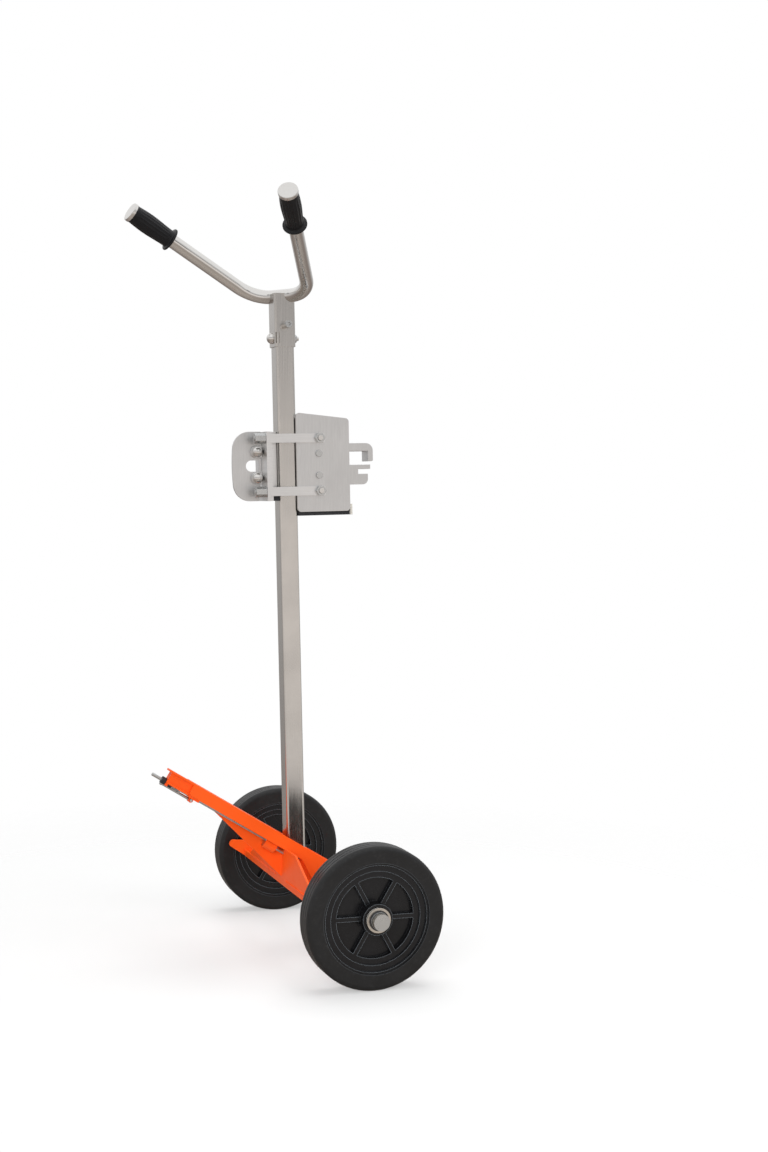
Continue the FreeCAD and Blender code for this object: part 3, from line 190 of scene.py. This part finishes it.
class TrolleyStudio(PropertyGroup):
    """Camera and light."""
    camera: FloatVectorProperty(name="Camera", description="Place of the camera", subtype="TRANSLATION",
                                size=3, default=(-0.956, -2.843, 0.829))
    heading: FloatProperty(name="Heading", description="Turn of the view to the right of +Y", subtype="ANGLE",
                           default=math.atan2(0.3525, 0.9358))
    pitch: FloatProperty(name="Pitch", description="Tilt of the view below the horizon", subtype="ANGLE",
                         default=math.radians(2.495))
    roll: FloatProperty(name="Roll", description="Turn of the camera about its view", subtype="ANGLE",
                        default=math.radians(1.33))
    lens: FloatProperty(name="Lens", description="Focal length in millimetres on a 36 mm long side",
                        default=50.14, min=10, max=200)
    key: FloatProperty(name="Key light", description="Power of the large soft lamp", unit="POWER",
                       default=140, min=0, max=2000)
    fill: FloatProperty(name="Fill light", description="Power of the lamp on the other side", unit="POWER",
                        default=50, min=0, max=2000)
    top: FloatProperty(name="Top light", description="Power of the lamp overhead", unit="POWER",
                       default=105, min=0, max=2000)
    sky: FloatProperty(name="Room light", description="Strength of the even light all round",
                       default=0.33, min=0, max=2)
    floor: FloatVectorProperty(name="Floor", description="Pale floor", subtype="COLOR",
                               size=3, min=0, max=1, default=(0.86, 0.86, 0.86))


class Nodes:
    """Adds shader nodes to a material or a world, and joins them."""

    def __init__(self, owner):
        owner.use_nodes = True
        self.tree = owner.node_tree
        self.shader = self.tree.nodes.get("Principled BSDF")

    def add(self, kind, settings=None, **inputs):
        node = self.tree.nodes.new(kind)
        for key, value in (settings or {}).items():
            setattr(node, key, value)
        self.fill(node, **inputs)
        return node

    def fill(self, node, **inputs):
        """Set a node's inputs; an underscore stands for a space in an input's name."""
        for key, value in inputs.items():
            self.put(node.inputs[key.replace("_", " ")], value)

    def put(self, socket, value):
        if isinstance(value, bpy.types.NodeSocket):
            self.tree.links.new(value, socket)
        else:
            socket.default_value = value

    def coords(self, scale=(1, 1, 1), shift=(0, 0, 0)):
        """The piece's own coordinates, stretched by scale."""
        place = self.add("ShaderNodeTexCoord").outputs["Object"]
        return self.add("ShaderNodeMapping", Vector=place, Scale=scale, Location=shift).outputs["Vector"]

    def noise(self, where, scale, detail, rough=0.5):
        return self.add("ShaderNodeTexNoise", Vector=where, Scale=scale, Detail=detail,
                        Roughness=rough).outputs["Fac"]

    def spread(self, value, low, high, at_low=0.3, at_high=0.7):
        """Stretch a value, by default a noise, so that it runs from low to high."""
        return self.add("ShaderNodeMapRange", Value=value, From_Min=at_low, From_Max=at_high, To_Min=low,
                        To_Max=high).outputs["Result"]

    def combine(self, way, first, second):
        """The sum, the product or the larger of two values."""
        node = self.add("ShaderNodeMath", {"operation": way})
        self.put(node.inputs[0], first)
        self.put(node.inputs[1], second)
        return node.outputs[0]

    def mix(self, share, first, second):
        node = self.add("ShaderNodeMix", {"data_type": "RGBA"})
        self.put(node.inputs[MIX_SHARE], share)
        self.put(node.inputs[MIX_FIRST], first)
        self.put(node.inputs[MIX_SECOND], second)
        return node.outputs[MIXED]

    def ramp(self, value, stops):
        """Colours that follow a value."""
        node = self.add("ShaderNodeValToRGB", Fac=value)
        elements = node.color_ramp.elements
        while len(elements) < len(stops):
            elements.new(0.5)
        for element, (where, colour) in zip(elements, stops):
            element.position = where
            element.color = colour + (1,)
        return node.outputs["Color"]

    def bump(self, height, strength, distance):
        return self.add("ShaderNodeBump", Height=height, Strength=strength,
                        Distance=distance).outputs["Normal"]

    def edges(self, radius):
        """1 on sharp edges and in corners, 0 on flats."""
        soft = self.add("ShaderNodeBevel", {"samples": 4}, Radius=radius).outputs["Normal"]
        flat = self.add("ShaderNodeNewGeometry").outputs["Normal"]
        turn = self.add("ShaderNodeVectorMath", {"operation": "DOT_PRODUCT"})
        self.put(turn.inputs[0], soft)
        self.put(turn.inputs[1], flat)
        return self.spread(turn.outputs["Value"], 1.0, 0.0, at_low=0.80, at_high=0.985)

    def ridges(self, radius):
        """1 on edges that stand out, 0 on flats and in corners."""
        clear = self.add("ShaderNodeAmbientOcclusion", {"samples": 6}, Distance=3 * radius).outputs["AO"]
        return self.combine("MULTIPLY", self.edges(radius),
                            self.spread(clear, 0.0, 1.0, at_low=0.55, at_high=0.9))


def shade(colour, factor):
    """A colour made lighter or darker, as a four-part colour."""
    return tuple(min(1.0, c * factor) for c in colour) + (1.0,)


def metal(name, colour, roughness, grain, brushing=0.10, smudges=0.30):
    """Metal with fine brushing along the axis where grain is small, and soft smudges."""
    material = bpy.data.materials.new(name)
    nodes = Nodes(material)
    contrast = min(1.0, 10 * brushing)
    lines = nodes.noise(nodes.coords(grain), 1.0, detail=6.0, rough=0.65)
    smudge = nodes.noise(nodes.coords(), 14.0, detail=5.0, rough=0.6)
    tone = nodes.mix(nodes.spread(lines, 0, contrast), shade(colour, 0.92), shade(colour, 1.05))
    tone = nodes.mix(nodes.spread(smudge, 0.0, smudges), tone, shade(colour, 0.84))
    brushed = nodes.spread(lines, roughness - 0.05 * contrast, roughness + 0.06 * contrast)
    smudged = nodes.spread(smudge, -0.1 * smudges, 0.2 * smudges)
    nodes.fill(nodes.shader, Base_Color=tone, Metallic=1.0, Roughness=nodes.combine("ADD", brushed, smudged),
               Normal=nodes.bump(lines, brushing, 0.15 * MM))
    return material


def turned_metal(name, colour, roughness):
    """Metal with the fine rings that a lathe leaves round the axle."""
    material = metal(name, colour, roughness, (300, 300, 300), brushing=0.05)
    nodes = Nodes(material)
    rings = nodes.add("ShaderNodeTexWave", {"wave_type": "RINGS", "rings_direction": "Y"},
                      Vector=nodes.coords(shift=(0, 0, -AXLE_Z * MM)), Scale=520.0, Distortion=0.6,
                      Detail=2.0)
    nodes.fill(nodes.shader, Normal=nodes.bump(rings.outputs["Fac"], 0.10, 0.08 * MM))
    return material


def powder_coat(name, colour):
    """Thick gloss powder coat: orange-peel skin, faint cloudiness, thin and darker where edges wear, and
    darker in inside corners as painted shade.
    """
    material = bpy.data.materials.new(name)
    nodes = Nodes(material)
    cloud = nodes.noise(nodes.coords(), 9.0, detail=4.0, rough=0.55)
    peel = nodes.noise(nodes.coords(), 420.0, detail=2.0, rough=0.4)
    scuff = nodes.noise(nodes.coords(), 95.0, detail=6.0, rough=0.7)
    tone = nodes.mix(nodes.spread(cloud, 0.0, 1.0), shade(colour, 0.93), shade(colour, 1.06))
    # Darker coat for wear on outer edges, and painted shade in inside corners, which the edge mask also takes
    wear_and_corner_shade = nodes.combine("MULTIPLY", nodes.edges(1.2 * MM),
                         nodes.spread(scuff, 0.0, 0.8, at_low=0.50, at_high=0.72))
    nodes.fill(nodes.shader, Base_Color=nodes.mix(wear_and_corner_shade, tone, WORN_AND_SHADED_COAT), Specular_IOR_Level=0.14,
               Roughness=nodes.spread(scuff, 0.30, 0.44), Coat_Weight=0.04, Coat_Roughness=0.15,
               Normal=nodes.bump(peel, 0.12, 0.12 * MM))
    return material


def moulded(name, colour, roughness, grain, depth, dust=0.0, gloss=0.22, edge_highlight=0.0):
    """Rubber or plastic with a fine moulded skin, uneven sheen, a little pale dust and a painted highlight on
    edges that stand out.
    """
    material = bpy.data.materials.new(name)
    nodes = Nodes(material)
    skin = nodes.noise(nodes.coords(), grain, detail=3.0, rough=0.55)
    patch = nodes.noise(nodes.coords(), 22.0, detail=5.0, rough=0.6)
    tone = nodes.mix(nodes.spread(patch, 0.0, 1.0), shade(colour, 0.80), shade(colour, 1.30))
    if dust:
        specks = nodes.noise(nodes.coords(), 140.0, detail=6.0, rough=0.75)
        tone = nodes.mix(nodes.spread(specks, 0.0, dust, at_low=0.52, at_high=0.80), tone, DUST)
    # Painted highlight on edges that stand out, in place of the glint of overhead light
    if edge_highlight:
        share = nodes.spread(nodes.ridges(EDGE_HIGHLIGHT_WIDTH), 0.0, edge_highlight, at_low=0.0, at_high=1.0)
        tone = nodes.mix(share, tone, EDGE_HIGHLIGHT_TINT)
    sheen = nodes.spread(patch, roughness - 0.06, roughness + 0.08)
    nodes.fill(nodes.shader, Base_Color=tone, Roughness=sheen, Specular_IOR_Level=gloss,
               Normal=nodes.bump(skin, depth, 0.2 * MM))
    return material


def dress(names, material):
    """Give CAD nodes a finish."""
    for name in names:
        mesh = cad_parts[name].data
        mesh.materials.clear()
        mesh.materials.append(material)


def soften(names, width):
    """Round the sheared edges of CAD nodes with modifiers."""
    for name in names:
        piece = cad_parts[name]
        if "custom_normal" in piece.data.attributes:
            piece.data.attributes.remove(piece.data.attributes["custom_normal"])
        piece.data.shade_smooth()
        weld = piece.modifiers.new("join faces", "WELD")
        weld.merge_threshold = JOIN_GAP
        flat = piece.modifiers.new("flat faces", "DECIMATE")
        flat.decimate_type = "DISSOLVE"
        flat.angle_limit = FLAT_ANGLE
        bevel = piece.modifiers.new("edges", "BEVEL")
        bevel.width = width
        bevel.segments = 2
        bevel.limit_method = "ANGLE"
        bevel.angle_limit = SHARP_ANGLE
        bevel.harden_normals = True


def new_piece(name, shape, material, body):
    """Make an object of a bmesh, smooth it and set it on its body."""
    mesh = bpy.data.meshes.new(name)
    bmesh.ops.recalc_face_normals(shape, faces=shape.faces)
    shape.to_mesh(mesh)
    shape.free()
    mesh.shade_smooth()
    mesh.materials.append(material)
    piece = bpy.data.objects.new(name, mesh)
    bpy.context.scene.collection.objects.link(piece)
    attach(piece, body)
    return piece


def square_to(ahead):
    """Two directions square to the way ahead and to each other."""
    side = ahead.orthogonal().normalized()
    return side, ahead.cross(side)


def ring(middle, side, up, radii):
    """Points round a middle at even turns, one for each radius."""
    turns = [math.tau * k / len(radii) for k in range(len(radii))]
    return [middle + side * (r * math.cos(t)) + up * (r * math.sin(t)) for r, t in zip(radii, turns)]


def skin_rings(shape, rings):
    """Join rings of points into a closed tube."""
    loops = [[shape.verts.new(p) for p in points] for points in rings]
    for a, b in zip(loops, loops[1:]):
        count = len(a)
        for k in range(count):
            shape.faces.new((a[k], a[(k + 1) % count], b[(k + 1) % count], b[k]))
    shape.faces.new(loops[0])
    shape.faces.new(reversed(loops[-1]))


def along(points, step):
    """Points at even steps on a line of straight runs, with the direction of travel at each."""
    found = []
    for a, b in zip(points, points[1:]):
        a, b = Vector(a), Vector(b)
        count = max(1, round((b - a).length / step))
        found += [(a.lerp(b, k / count), (b - a).normalized()) for k in range(count)]
    found.append((Vector(points[-1]), (Vector(points[-1]) - Vector(points[-2])).normalized()))
    return found


def add_bead(shape, points, radius, ripple):
    """A rippled weld seam along straight runs, thinner at both ends."""
    rings = []
    places = along(points, ripple / RIPPLE_STEPS)
    for k, (place, ahead) in enumerate(places):
        taper = min(1.0, 0.35 + 0.3 * min(k, len(places) - 1 - k))
        swell = 0.86 + 0.14 * abs(math.sin(math.pi * k / RIPPLE_STEPS))
        rings.append(ring(place, *square_to(ahead), [radius * taper * swell] * BEAD_SIDES))
    skin_rings(shape, rings)


def add_thread(shape, start, ahead, length, radius, pitch):
    """A helical ridge round a screw's end, which runs out at both ends."""
    ahead = ahead.normalized()
    side, up = square_to(ahead)
    count = int((length - pitch) / pitch * THREAD_STEPS)
    flank = ahead * (0.42 * pitch)
    rings = []
    for k in range(count + 1):
        turn = math.tau * k / THREAD_STEPS
        out = side * math.cos(turn) + up * math.sin(turn)
        mid = start + ahead * (pitch / 2 + pitch * k / THREAD_STEPS)
        root = out * (radius - THREAD_ROOT)
        crest = radius + 0.30 * pitch * min(1.0, k / THREAD_STEPS, (count - k) / THREAD_STEPS + 0.05)
        rings.append([mid - flank + root, mid + out * crest, mid + flank + root])
    skin_rings(shape, rings)


def mast_point(x, y, z):
    """A point given in millimetres in the mast's own upright frame."""
    return MAST_FRAME @ Vector((x * MM, y * MM, z * MM))


def lever_point(u, y, w):
    """A point on the foot lever: u back from the axle along it, w square to it, in millimetres."""
    back, rise = math.cos(LEVER_SLOPE), math.sin(LEVER_SLOPE)
    return Vector((-u * back + w * rise, y, AXLE_Z + u * rise + w * back)) * MM


class TROLLEY_OT_wheels(Operator):
    """Tyres, rims, bushes, axle, washers and rings"""
    bl_idname = "trolley.wheels"
    bl_label = "Wheels and axle"

    def execute(self, context):
        finish = context.scene.trolley_finish
        sizes = context.scene.trolley_sizes
        # Tyres and rims carry a painted highlight on their outer edges, strongest on the rims
        dress(("right_tyre", "left_tyre"),
              moulded("Tyre rubber", finish.tyre, 0.40, 900.0, 0.20, dust=0.05, gloss=0.34, edge_highlight=0.3))
        dress(("right_rim", "left_rim"),
              moulded("Rim plastic", finish.rim, 0.24, 650.0, 0.06, dust=0.02, gloss=0.32, edge_highlight=0.8))
        dress(("right_bushes", "left_bushes"), moulded("Bush plastic", finish.pale, 0.45, 700.0, 0.10))
        dress(("axle",), turned_metal("Turned axle steel", finish.plated, 0.26))
        dress(("axle_washers",), turned_metal("Plated washer", finish.washer, 0.34))
        # The rings are made near black as painted shade of the gap at the axle end
        dress(("axle_rings",), turned_metal("Ring steel darkened as painted shade", finish.ring_shade, 0.36))
        soften(("axle", "axle_washers", "axle_rings"), sizes.edge)
        return {"FINISHED"}


class TROLLEY_OT_base(Operator):
    """Coated base with its weld seams"""
    bl_idname = "trolley.base"
    bl_label = "Base and foot lever"

    def execute(self, context):
        finish = context.scene.trolley_finish
        sizes = context.scene.trolley_sizes
        coat = powder_coat("Orange powder coat", finish.coat)
        plates = ("axle_arms", "cross_beam", "gusset_plate", "lever_closer", "lever_cover", "lever_rails",
                  "lever_web", "pedal_tip", "rod_guide_boss", "rod_tail_plate", "trigger_ears",
                  "mast_socket", "mast_foot_plates", "mast_hub_tube")
        dress(plates, coat)
        soften(plates, sizes.edge)
        dress(("mast_hub_bush",), metal("Bronze bush", finish.bronze, 0.38, (300, 20, 300)))

        seams = bmesh.new()
        for points in self.seam_lines(0.1 * sizes.bead):
            add_bead(seams, points, 0.8 * sizes.bead, sizes.ripple)
        for points in self.boss_lines():
            add_bead(seams, points, 0.7 * sizes.bead, sizes.ripple)
        new_piece("base_weld_seams", seams, coat, "base_frame")
        return {"FINISHED"}

    def seam_lines(self, stand):
        """Seams of the gusset plate, the beam's ends and the web, which stand a little off the plates."""
        low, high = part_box("gusset_plate")
        beam_low, beam_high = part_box("cross_beam")
        behind = low.x - stand
        lines = []
        for side in (-1, 1):
            for x in (behind, high.x + stand):
                lines.append([(x, side * high.y, low.z), (x, side * GUSSET_SEAM_Y, low.z)])
            end = side * (beam_high.y - BEAM_END_INSET)
            x = beam_low.x - stand
            lines.append([(x, end, beam_low.z + BEAM_SEAM_RISE), (x, end, beam_high.z),
                          (high.x, end, beam_high.z)])
            lines.append([lever_point(u, side * WEB_SEAM_Y, WEB_SEAM_W) for u in WEB_SEAM_U])
            lines.append([(behind, side * WEB_FOOT_Y, low.z + rise) for rise in WEB_FOOT_RISES])
        return lines

    def boss_lines(self):
        """Seams along both sides of the rod guide boss."""
        return [[lever_point(u, BOSS_SEAM_Y, BOSS_SEAM_W + side * BOSS_SEAM_R) for u in BOSS_SEAM_U]
                for side in (-1, 1)]


class TROLLEY_OT_latch(Operator):
    """Latch pin, rod, collar, spring, trigger and rear bush"""
    bl_idname = "trolley.latch"
    bl_label = "Latch"

    def execute(self, context):
        finish = context.scene.trolley_finish
        sizes = context.scene.trolley_sizes
        dress(("latch_pin", "latch_rod", "latch_collar", "latch_trigger", "latch_spring"),
              metal("Drawn latch steel", finish.plated, 0.27, (900, 900, 900), brushing=0.06))
        dress(("rod_tail_bush",), moulded("Rod bush plastic", finish.dark, 0.45, 600.0, 0.15, dust=0.08))
        soften(("latch_collar", "latch_pin"), sizes.edge)
        return {"FINISHED"}


class TROLLEY_OT_mast(Operator):
    """Mast tube, sleeve and their screws"""
    bl_idname = "trolley.mast"
    bl_label = "Mast and sleeve"

    def execute(self, context):
        finish = context.scene.trolley_finish
        sizes = context.scene.trolley_sizes
        dress(("mast_tube", "handle_sleeve", "sleeve_spacer"),
              metal("Drawn stainless tube", finish.steel, 0.20, (700, 700, 5)))
        screws = ("mast_foot_bolt", "sleeve_screw", "sleeve_nuts")
        dress(screws, metal("Plated screws", finish.plated, 0.25, (500, 500, 500), brushing=0.08))
        dress(("sleeve_dome_bolt",),
              metal("Polished dome bolt", finish.bright, 0.13, (400, 400, 400), brushing=0.03))
        soften(("handle_sleeve", "sleeve_spacer") + screws, 0.7 * sizes.edge)
        return {"FINISHED"}


class TROLLEY_OT_handle(Operator):
    """Handlebar, moulded grips and end caps"""
    bl_idname = "trolley.handle"
    bl_label = "Handlebar and grips"

    def execute(self, context):
        finish = context.scene.trolley_finish
        sizes = context.scene.trolley_sizes
        dress(("handlebar",),
              metal("Polished stainless bar", finish.bright, 0.13, (160, 160, 160), brushing=0.01,
                    smudges=0.10))
        dress(("left_grip_cap", "right_grip_cap"),
              metal("Cap aluminium", finish.bright, 0.30, (90, 90, 90), brushing=0.01, smudges=0.10))
        rubber = moulded("Grip rubber", finish.grip, 0.34, 800.0, 0.12, dust=0.02)
        tip_x, tip_y, tip_z = GRIP_TIP
        for name, side in (("left", 1), ("right", -1)):
            tip = self.bar_point(tip_x, side * tip_y, tip_z)
            bend = self.bar_point(0, side * BAR_BEND_Y, 0)
            shape = bmesh.new()
            skin_rings(shape, self.rings(tip, (bend - tip).normalized(), sizes.grip_rib))
            grip = new_piece(name + "_moulded_grip", shape, rubber, "mast")
            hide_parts(name + "_grip")
        return {"FINISHED"}

    def bar_point(self, x, y, z):
        """A point on the handlebar, given before the bar is turned on the mast."""
        turned = Matrix.Rotation(HANDLE_TURN, 4, "Z") @ Vector((x, y, z))
        return mast_point(*(turned + Vector((0, 0, HANDLE_Z))))

    def rings(self, tip, ahead, rib):
        """Rings of a waisted, ribbed grip with a rounded flange, from the tip inwards."""
        side, up = square_to(ahead)
        body = tuple((t, GRIP_BODY_R + GRIP_SWELL * math.sin(math.pi * (t + 14) / 92) ** 2)
                     for t in range(*GRIP_BODY_T, 2))
        first, last = GRIP_RIB_T
        rings = []
        for t, r in GRIP_FACE + body + GRIP_FLANGE:
            fade = max(0.0, min(1.0, (t - first) / GRIP_RIB_FADE, (last - t) / GRIP_RIB_FADE))
            radii = []
            for k in range(GRIP_SIDES):
                ridge = max(0.0, math.cos(GRIP_RIBS * (math.tau * k / GRIP_SIDES))) ** 0.6
                radii.append(r * MM - (1 - ridge) * fade * rib)
            rings.append(ring(tip + ahead * (t * MM), side, up, radii))
        return rings


class TROLLEY_OT_head(Operator):
    """Gripper head: plates, straps, jaws, release plate and fasteners"""
    bl_idname = "trolley.head"
    bl_label = "Gripper head"

    def execute(self, context):
        finish = context.scene.trolley_finish
        sizes = context.scene.trolley_sizes
        plates = ("head_cheeks", "release_lugs", "upper_jaw", "lower_jaw")
        dress(plates + ("release_plate",),
              metal("Satin stainless plate", finish.plate, 0.36, (420, 420, 30), brushing=0.12))
        bars = ("head_straps", "head_yoke", "head_spacers")
        dress(bars, metal("Satin stainless strap", shade(finish.plate, 1.14)[:3], 0.32, (12, 500, 500),
                          brushing=0.12))
        bolts = metal("Plated bolts", finish.plated, 0.24, (450, 450, 450))
        fasteners = ("strap_studs", "head_nuts", "release_bolts", "jaw_pins")
        dress(fasteners, bolts)
        dress(("dome_nuts", "strap_bolts"),
              metal("Polished dome nuts", finish.bright, 0.22, (350, 350, 350), brushing=0.03))
        dress(("front_pad",), moulded("Pale pad rubber", finish.pad, 0.62, 500.0, 0.25, dust=0.10))
        # Head block and brake pads are near black as plastic and as painted shade of the gaps they fill
        dress(("head_block", "brake_pads"),
              moulded("Block plastic, dark and painted shade", finish.dark, 0.50, 500.0, 0.18, dust=0.08))
        dress(("slide_pads",), moulded("Slide pad plastic", finish.pale, 0.45, 700.0, 0.10))
        blocks = ("front_pad", "head_block", "slide_pads", "brake_pads")
        soften(plates + bars + fasteners + blocks + ("strap_bolts",), sizes.edge)

        threads = bmesh.new()
        aside = Vector((0, -1, 0))
        for z in STRAP_BOLT_Z:
            start = mast_point(STRAP_BOLT_X, STRAP_BOLT_Y, z)
            add_thread(threads, start, aside, STRAP_THREAD, STRAP_BOLT_R, sizes.pitch)
        new_piece("strap_bolt_threads", threads, bolts, "gripper_head")
        return {"FINISHED"}


class TROLLEY_OT_stage(Operator):
    """Floor, lamps, room light and camera"""
    bl_idname = "trolley.stage"
    bl_label = "Studio"

    def execute(self, context):
        studio = context.scene.trolley_studio
        self.floor(studio)
        self.room(context.scene, studio)
        self.lamp("Key lamp", studio.key, 2.6, Vector((-2.2, -3.8, 1.9)))
        self.lamp("Fill lamp", studio.fill, 2.4, Vector((3.4, -2.2, 2.2)))
        self.lamp("Top lamp", studio.top, 3.0, Vector((0.3, 0.4, 3.8)))
        self.camera(context.scene, studio)
        context.scene.view_settings.view_transform = "Standard"
        return {"FINISHED"}

    def floor(self, studio):
        """A pale floor that fades into the white round about."""
        shape = bmesh.new()
        bmesh.ops.create_circle(shape, cap_ends=True, segments=96, radius=FLOOR_RADIUS)
        mesh = bpy.data.meshes.new("floor")
        shape.to_mesh(mesh)
        shape.free()
        floor = bpy.data.objects.new("floor", mesh)
        floor.location.z = -FLOOR_DROP
        bpy.context.scene.collection.objects.link(floor)
        material = bpy.data.materials.new("Pale floor")
        nodes = Nodes(material)
        grain = nodes.noise(nodes.coords(), 3.0, detail=3.0)
        tone = nodes.mix(nodes.spread(grain, 0, 1), shade(studio.floor, 0.99), shade(studio.floor, 1.0))
        mirrored = nodes.add("ShaderNodeLightPath").outputs["Is Glossy Ray"]
        away = nodes.add("ShaderNodeVectorMath", {"operation": "LENGTH"}, Vector=nodes.coords((1, 1, 0)))
        nodes.fill(nodes.shader, Base_Color=nodes.mix(mirrored, tone, MIRRORED_FLOOR), Roughness=0.9,
                   Specular_IOR_Level=0.1,
                   Alpha=nodes.spread(away.outputs["Value"], FLOOR_SOLID, 0.0, *FLOOR_FADE))
        mesh.materials.append(material)

    def room(self, scene, studio):
        """Even light all round; the camera sees plain white, metal a room with a white ceiling."""
        scene.world = bpy.data.worlds.new("Room")
        nodes = Nodes(scene.world)
        path = nodes.add("ShaderNodeLightPath").outputs
        plain = nodes.tree.nodes["Background"]
        nodes.fill(plain, Color=(1, 1, 1, 1),
                   Strength=nodes.spread(path["Is Camera Ray"], studio.sky, 1.0, at_low=0.0, at_high=1.0))

        split = nodes.add("ShaderNodeSeparateXYZ",
                          Vector=nodes.add("ShaderNodeTexCoord").outputs["Generated"]).outputs
        height = nodes.spread(split["Z"], 0.0, 1.0, at_low=-1.0, at_high=1.0)
        depth = nodes.spread(split["Y"], 0.0, 1.0, at_low=-0.5, at_high=0.5)
        tone = nodes.mix(depth, nodes.ramp(height, FRONT_ROOM), nodes.ramp(height, REAR_ROOM))
        shown = nodes.add("ShaderNodeBackground", Color=tone)

        mirrored = nodes.combine("MAXIMUM", path["Is Glossy Ray"], path["Is Transmission Ray"])
        both = nodes.add("ShaderNodeMixShader", Fac=mirrored)
        nodes.put(both.inputs[1], plain.outputs["Background"])
        nodes.put(both.inputs[2], shown.outputs["Background"])
        nodes.fill(nodes.tree.nodes["World Output"], Surface=both.outputs["Shader"])

    def lamp(self, name, power, size, place):
        """A soft square lamp that metal doesn't show, aimed at the trolley."""
        light = bpy.data.lights.new(name, "AREA")
        light.energy = power
        light.size = size
        lamp = bpy.data.objects.new(name, light)
        lamp.location = place
        lamp.visible_glossy = False
        lamp.rotation_euler = (LIT_POINT - place).to_track_quat("-Z", "Y").to_euler()
        bpy.context.scene.collection.objects.link(lamp)

    def camera(self, scene, studio):
        data = bpy.data.cameras.new("Camera")
        data.sensor_width = 36
        data.lens = studio.lens
        camera = bpy.data.objects.new("Camera", data)
        scene.collection.objects.link(camera)
        ahead = Vector((math.sin(studio.heading) * math.cos(studio.pitch),
                        math.cos(studio.heading) * math.cos(studio.pitch), -math.sin(studio.pitch)))
        side = ahead.cross(Vector((0, 0, 1))).normalized()
        up = side.cross(ahead)
        right = side * math.cos(studio.roll) + up * math.sin(studio.roll)
        above = up * math.cos(studio.roll) - side * math.sin(studio.roll)
        turn = Matrix((right, above, -ahead)).transposed().to_4x4()
        camera.matrix_world = Matrix.Translation(studio.camera) @ turn
        scene.camera = camera


OPERATORS = (TROLLEY_OT_wheels, TROLLEY_OT_base, TROLLEY_OT_latch, TROLLEY_OT_mast, TROLLEY_OT_handle,
             TROLLEY_OT_head, TROLLEY_OT_stage)


class TROLLEY_PT_panel(Panel):
    """Lists the trolley's operators and settings"""
    bl_idname = "TROLLEY_PT_panel"
    bl_label = "Drum trolley"
    bl_space_type = "VIEW_3D"
    bl_region_type = "UI"
    bl_category = "Trolley"

    def draw(self, context):
        for kind in OPERATORS:
            self.layout.operator(kind.bl_idname)
        scene = context.scene
        for group in (scene.trolley_finish, scene.trolley_sizes, scene.trolley_studio):
            box = self.layout.box()
            for name in group.bl_rna.properties.keys():
                if name not in ("rna_type", "name"):
                    box.prop(group, name)


CLASSES = (TrolleyFinish, TrolleySizes, TrolleyStudio) + OPERATORS + (TROLLEY_PT_panel,)


def register():
    for kind in CLASSES:
        bpy.utils.register_class(kind)
    bpy.types.Scene.trolley_finish = PointerProperty(type=TrolleyFinish)
    bpy.types.Scene.trolley_sizes = PointerProperty(type=TrolleySizes)
    bpy.types.Scene.trolley_studio = PointerProperty(type=TrolleyStudio)


def unregister():
    del bpy.types.Scene.trolley_studio
    del bpy.types.Scene.trolley_sizes
    del bpy.types.Scene.trolley_finish
    for kind in reversed(CLASSES):
        bpy.utils.unregister_class(kind)


def main():
    register()
    bpy.ops.trolley.wheels()
    bpy.ops.trolley.base()
    bpy.ops.trolley.latch()
    bpy.ops.trolley.mast()
    bpy.ops.trolley.handle()
    bpy.ops.trolley.head()
    bpy.ops.trolley.stage()


if __name__ == "__main__":
    main()
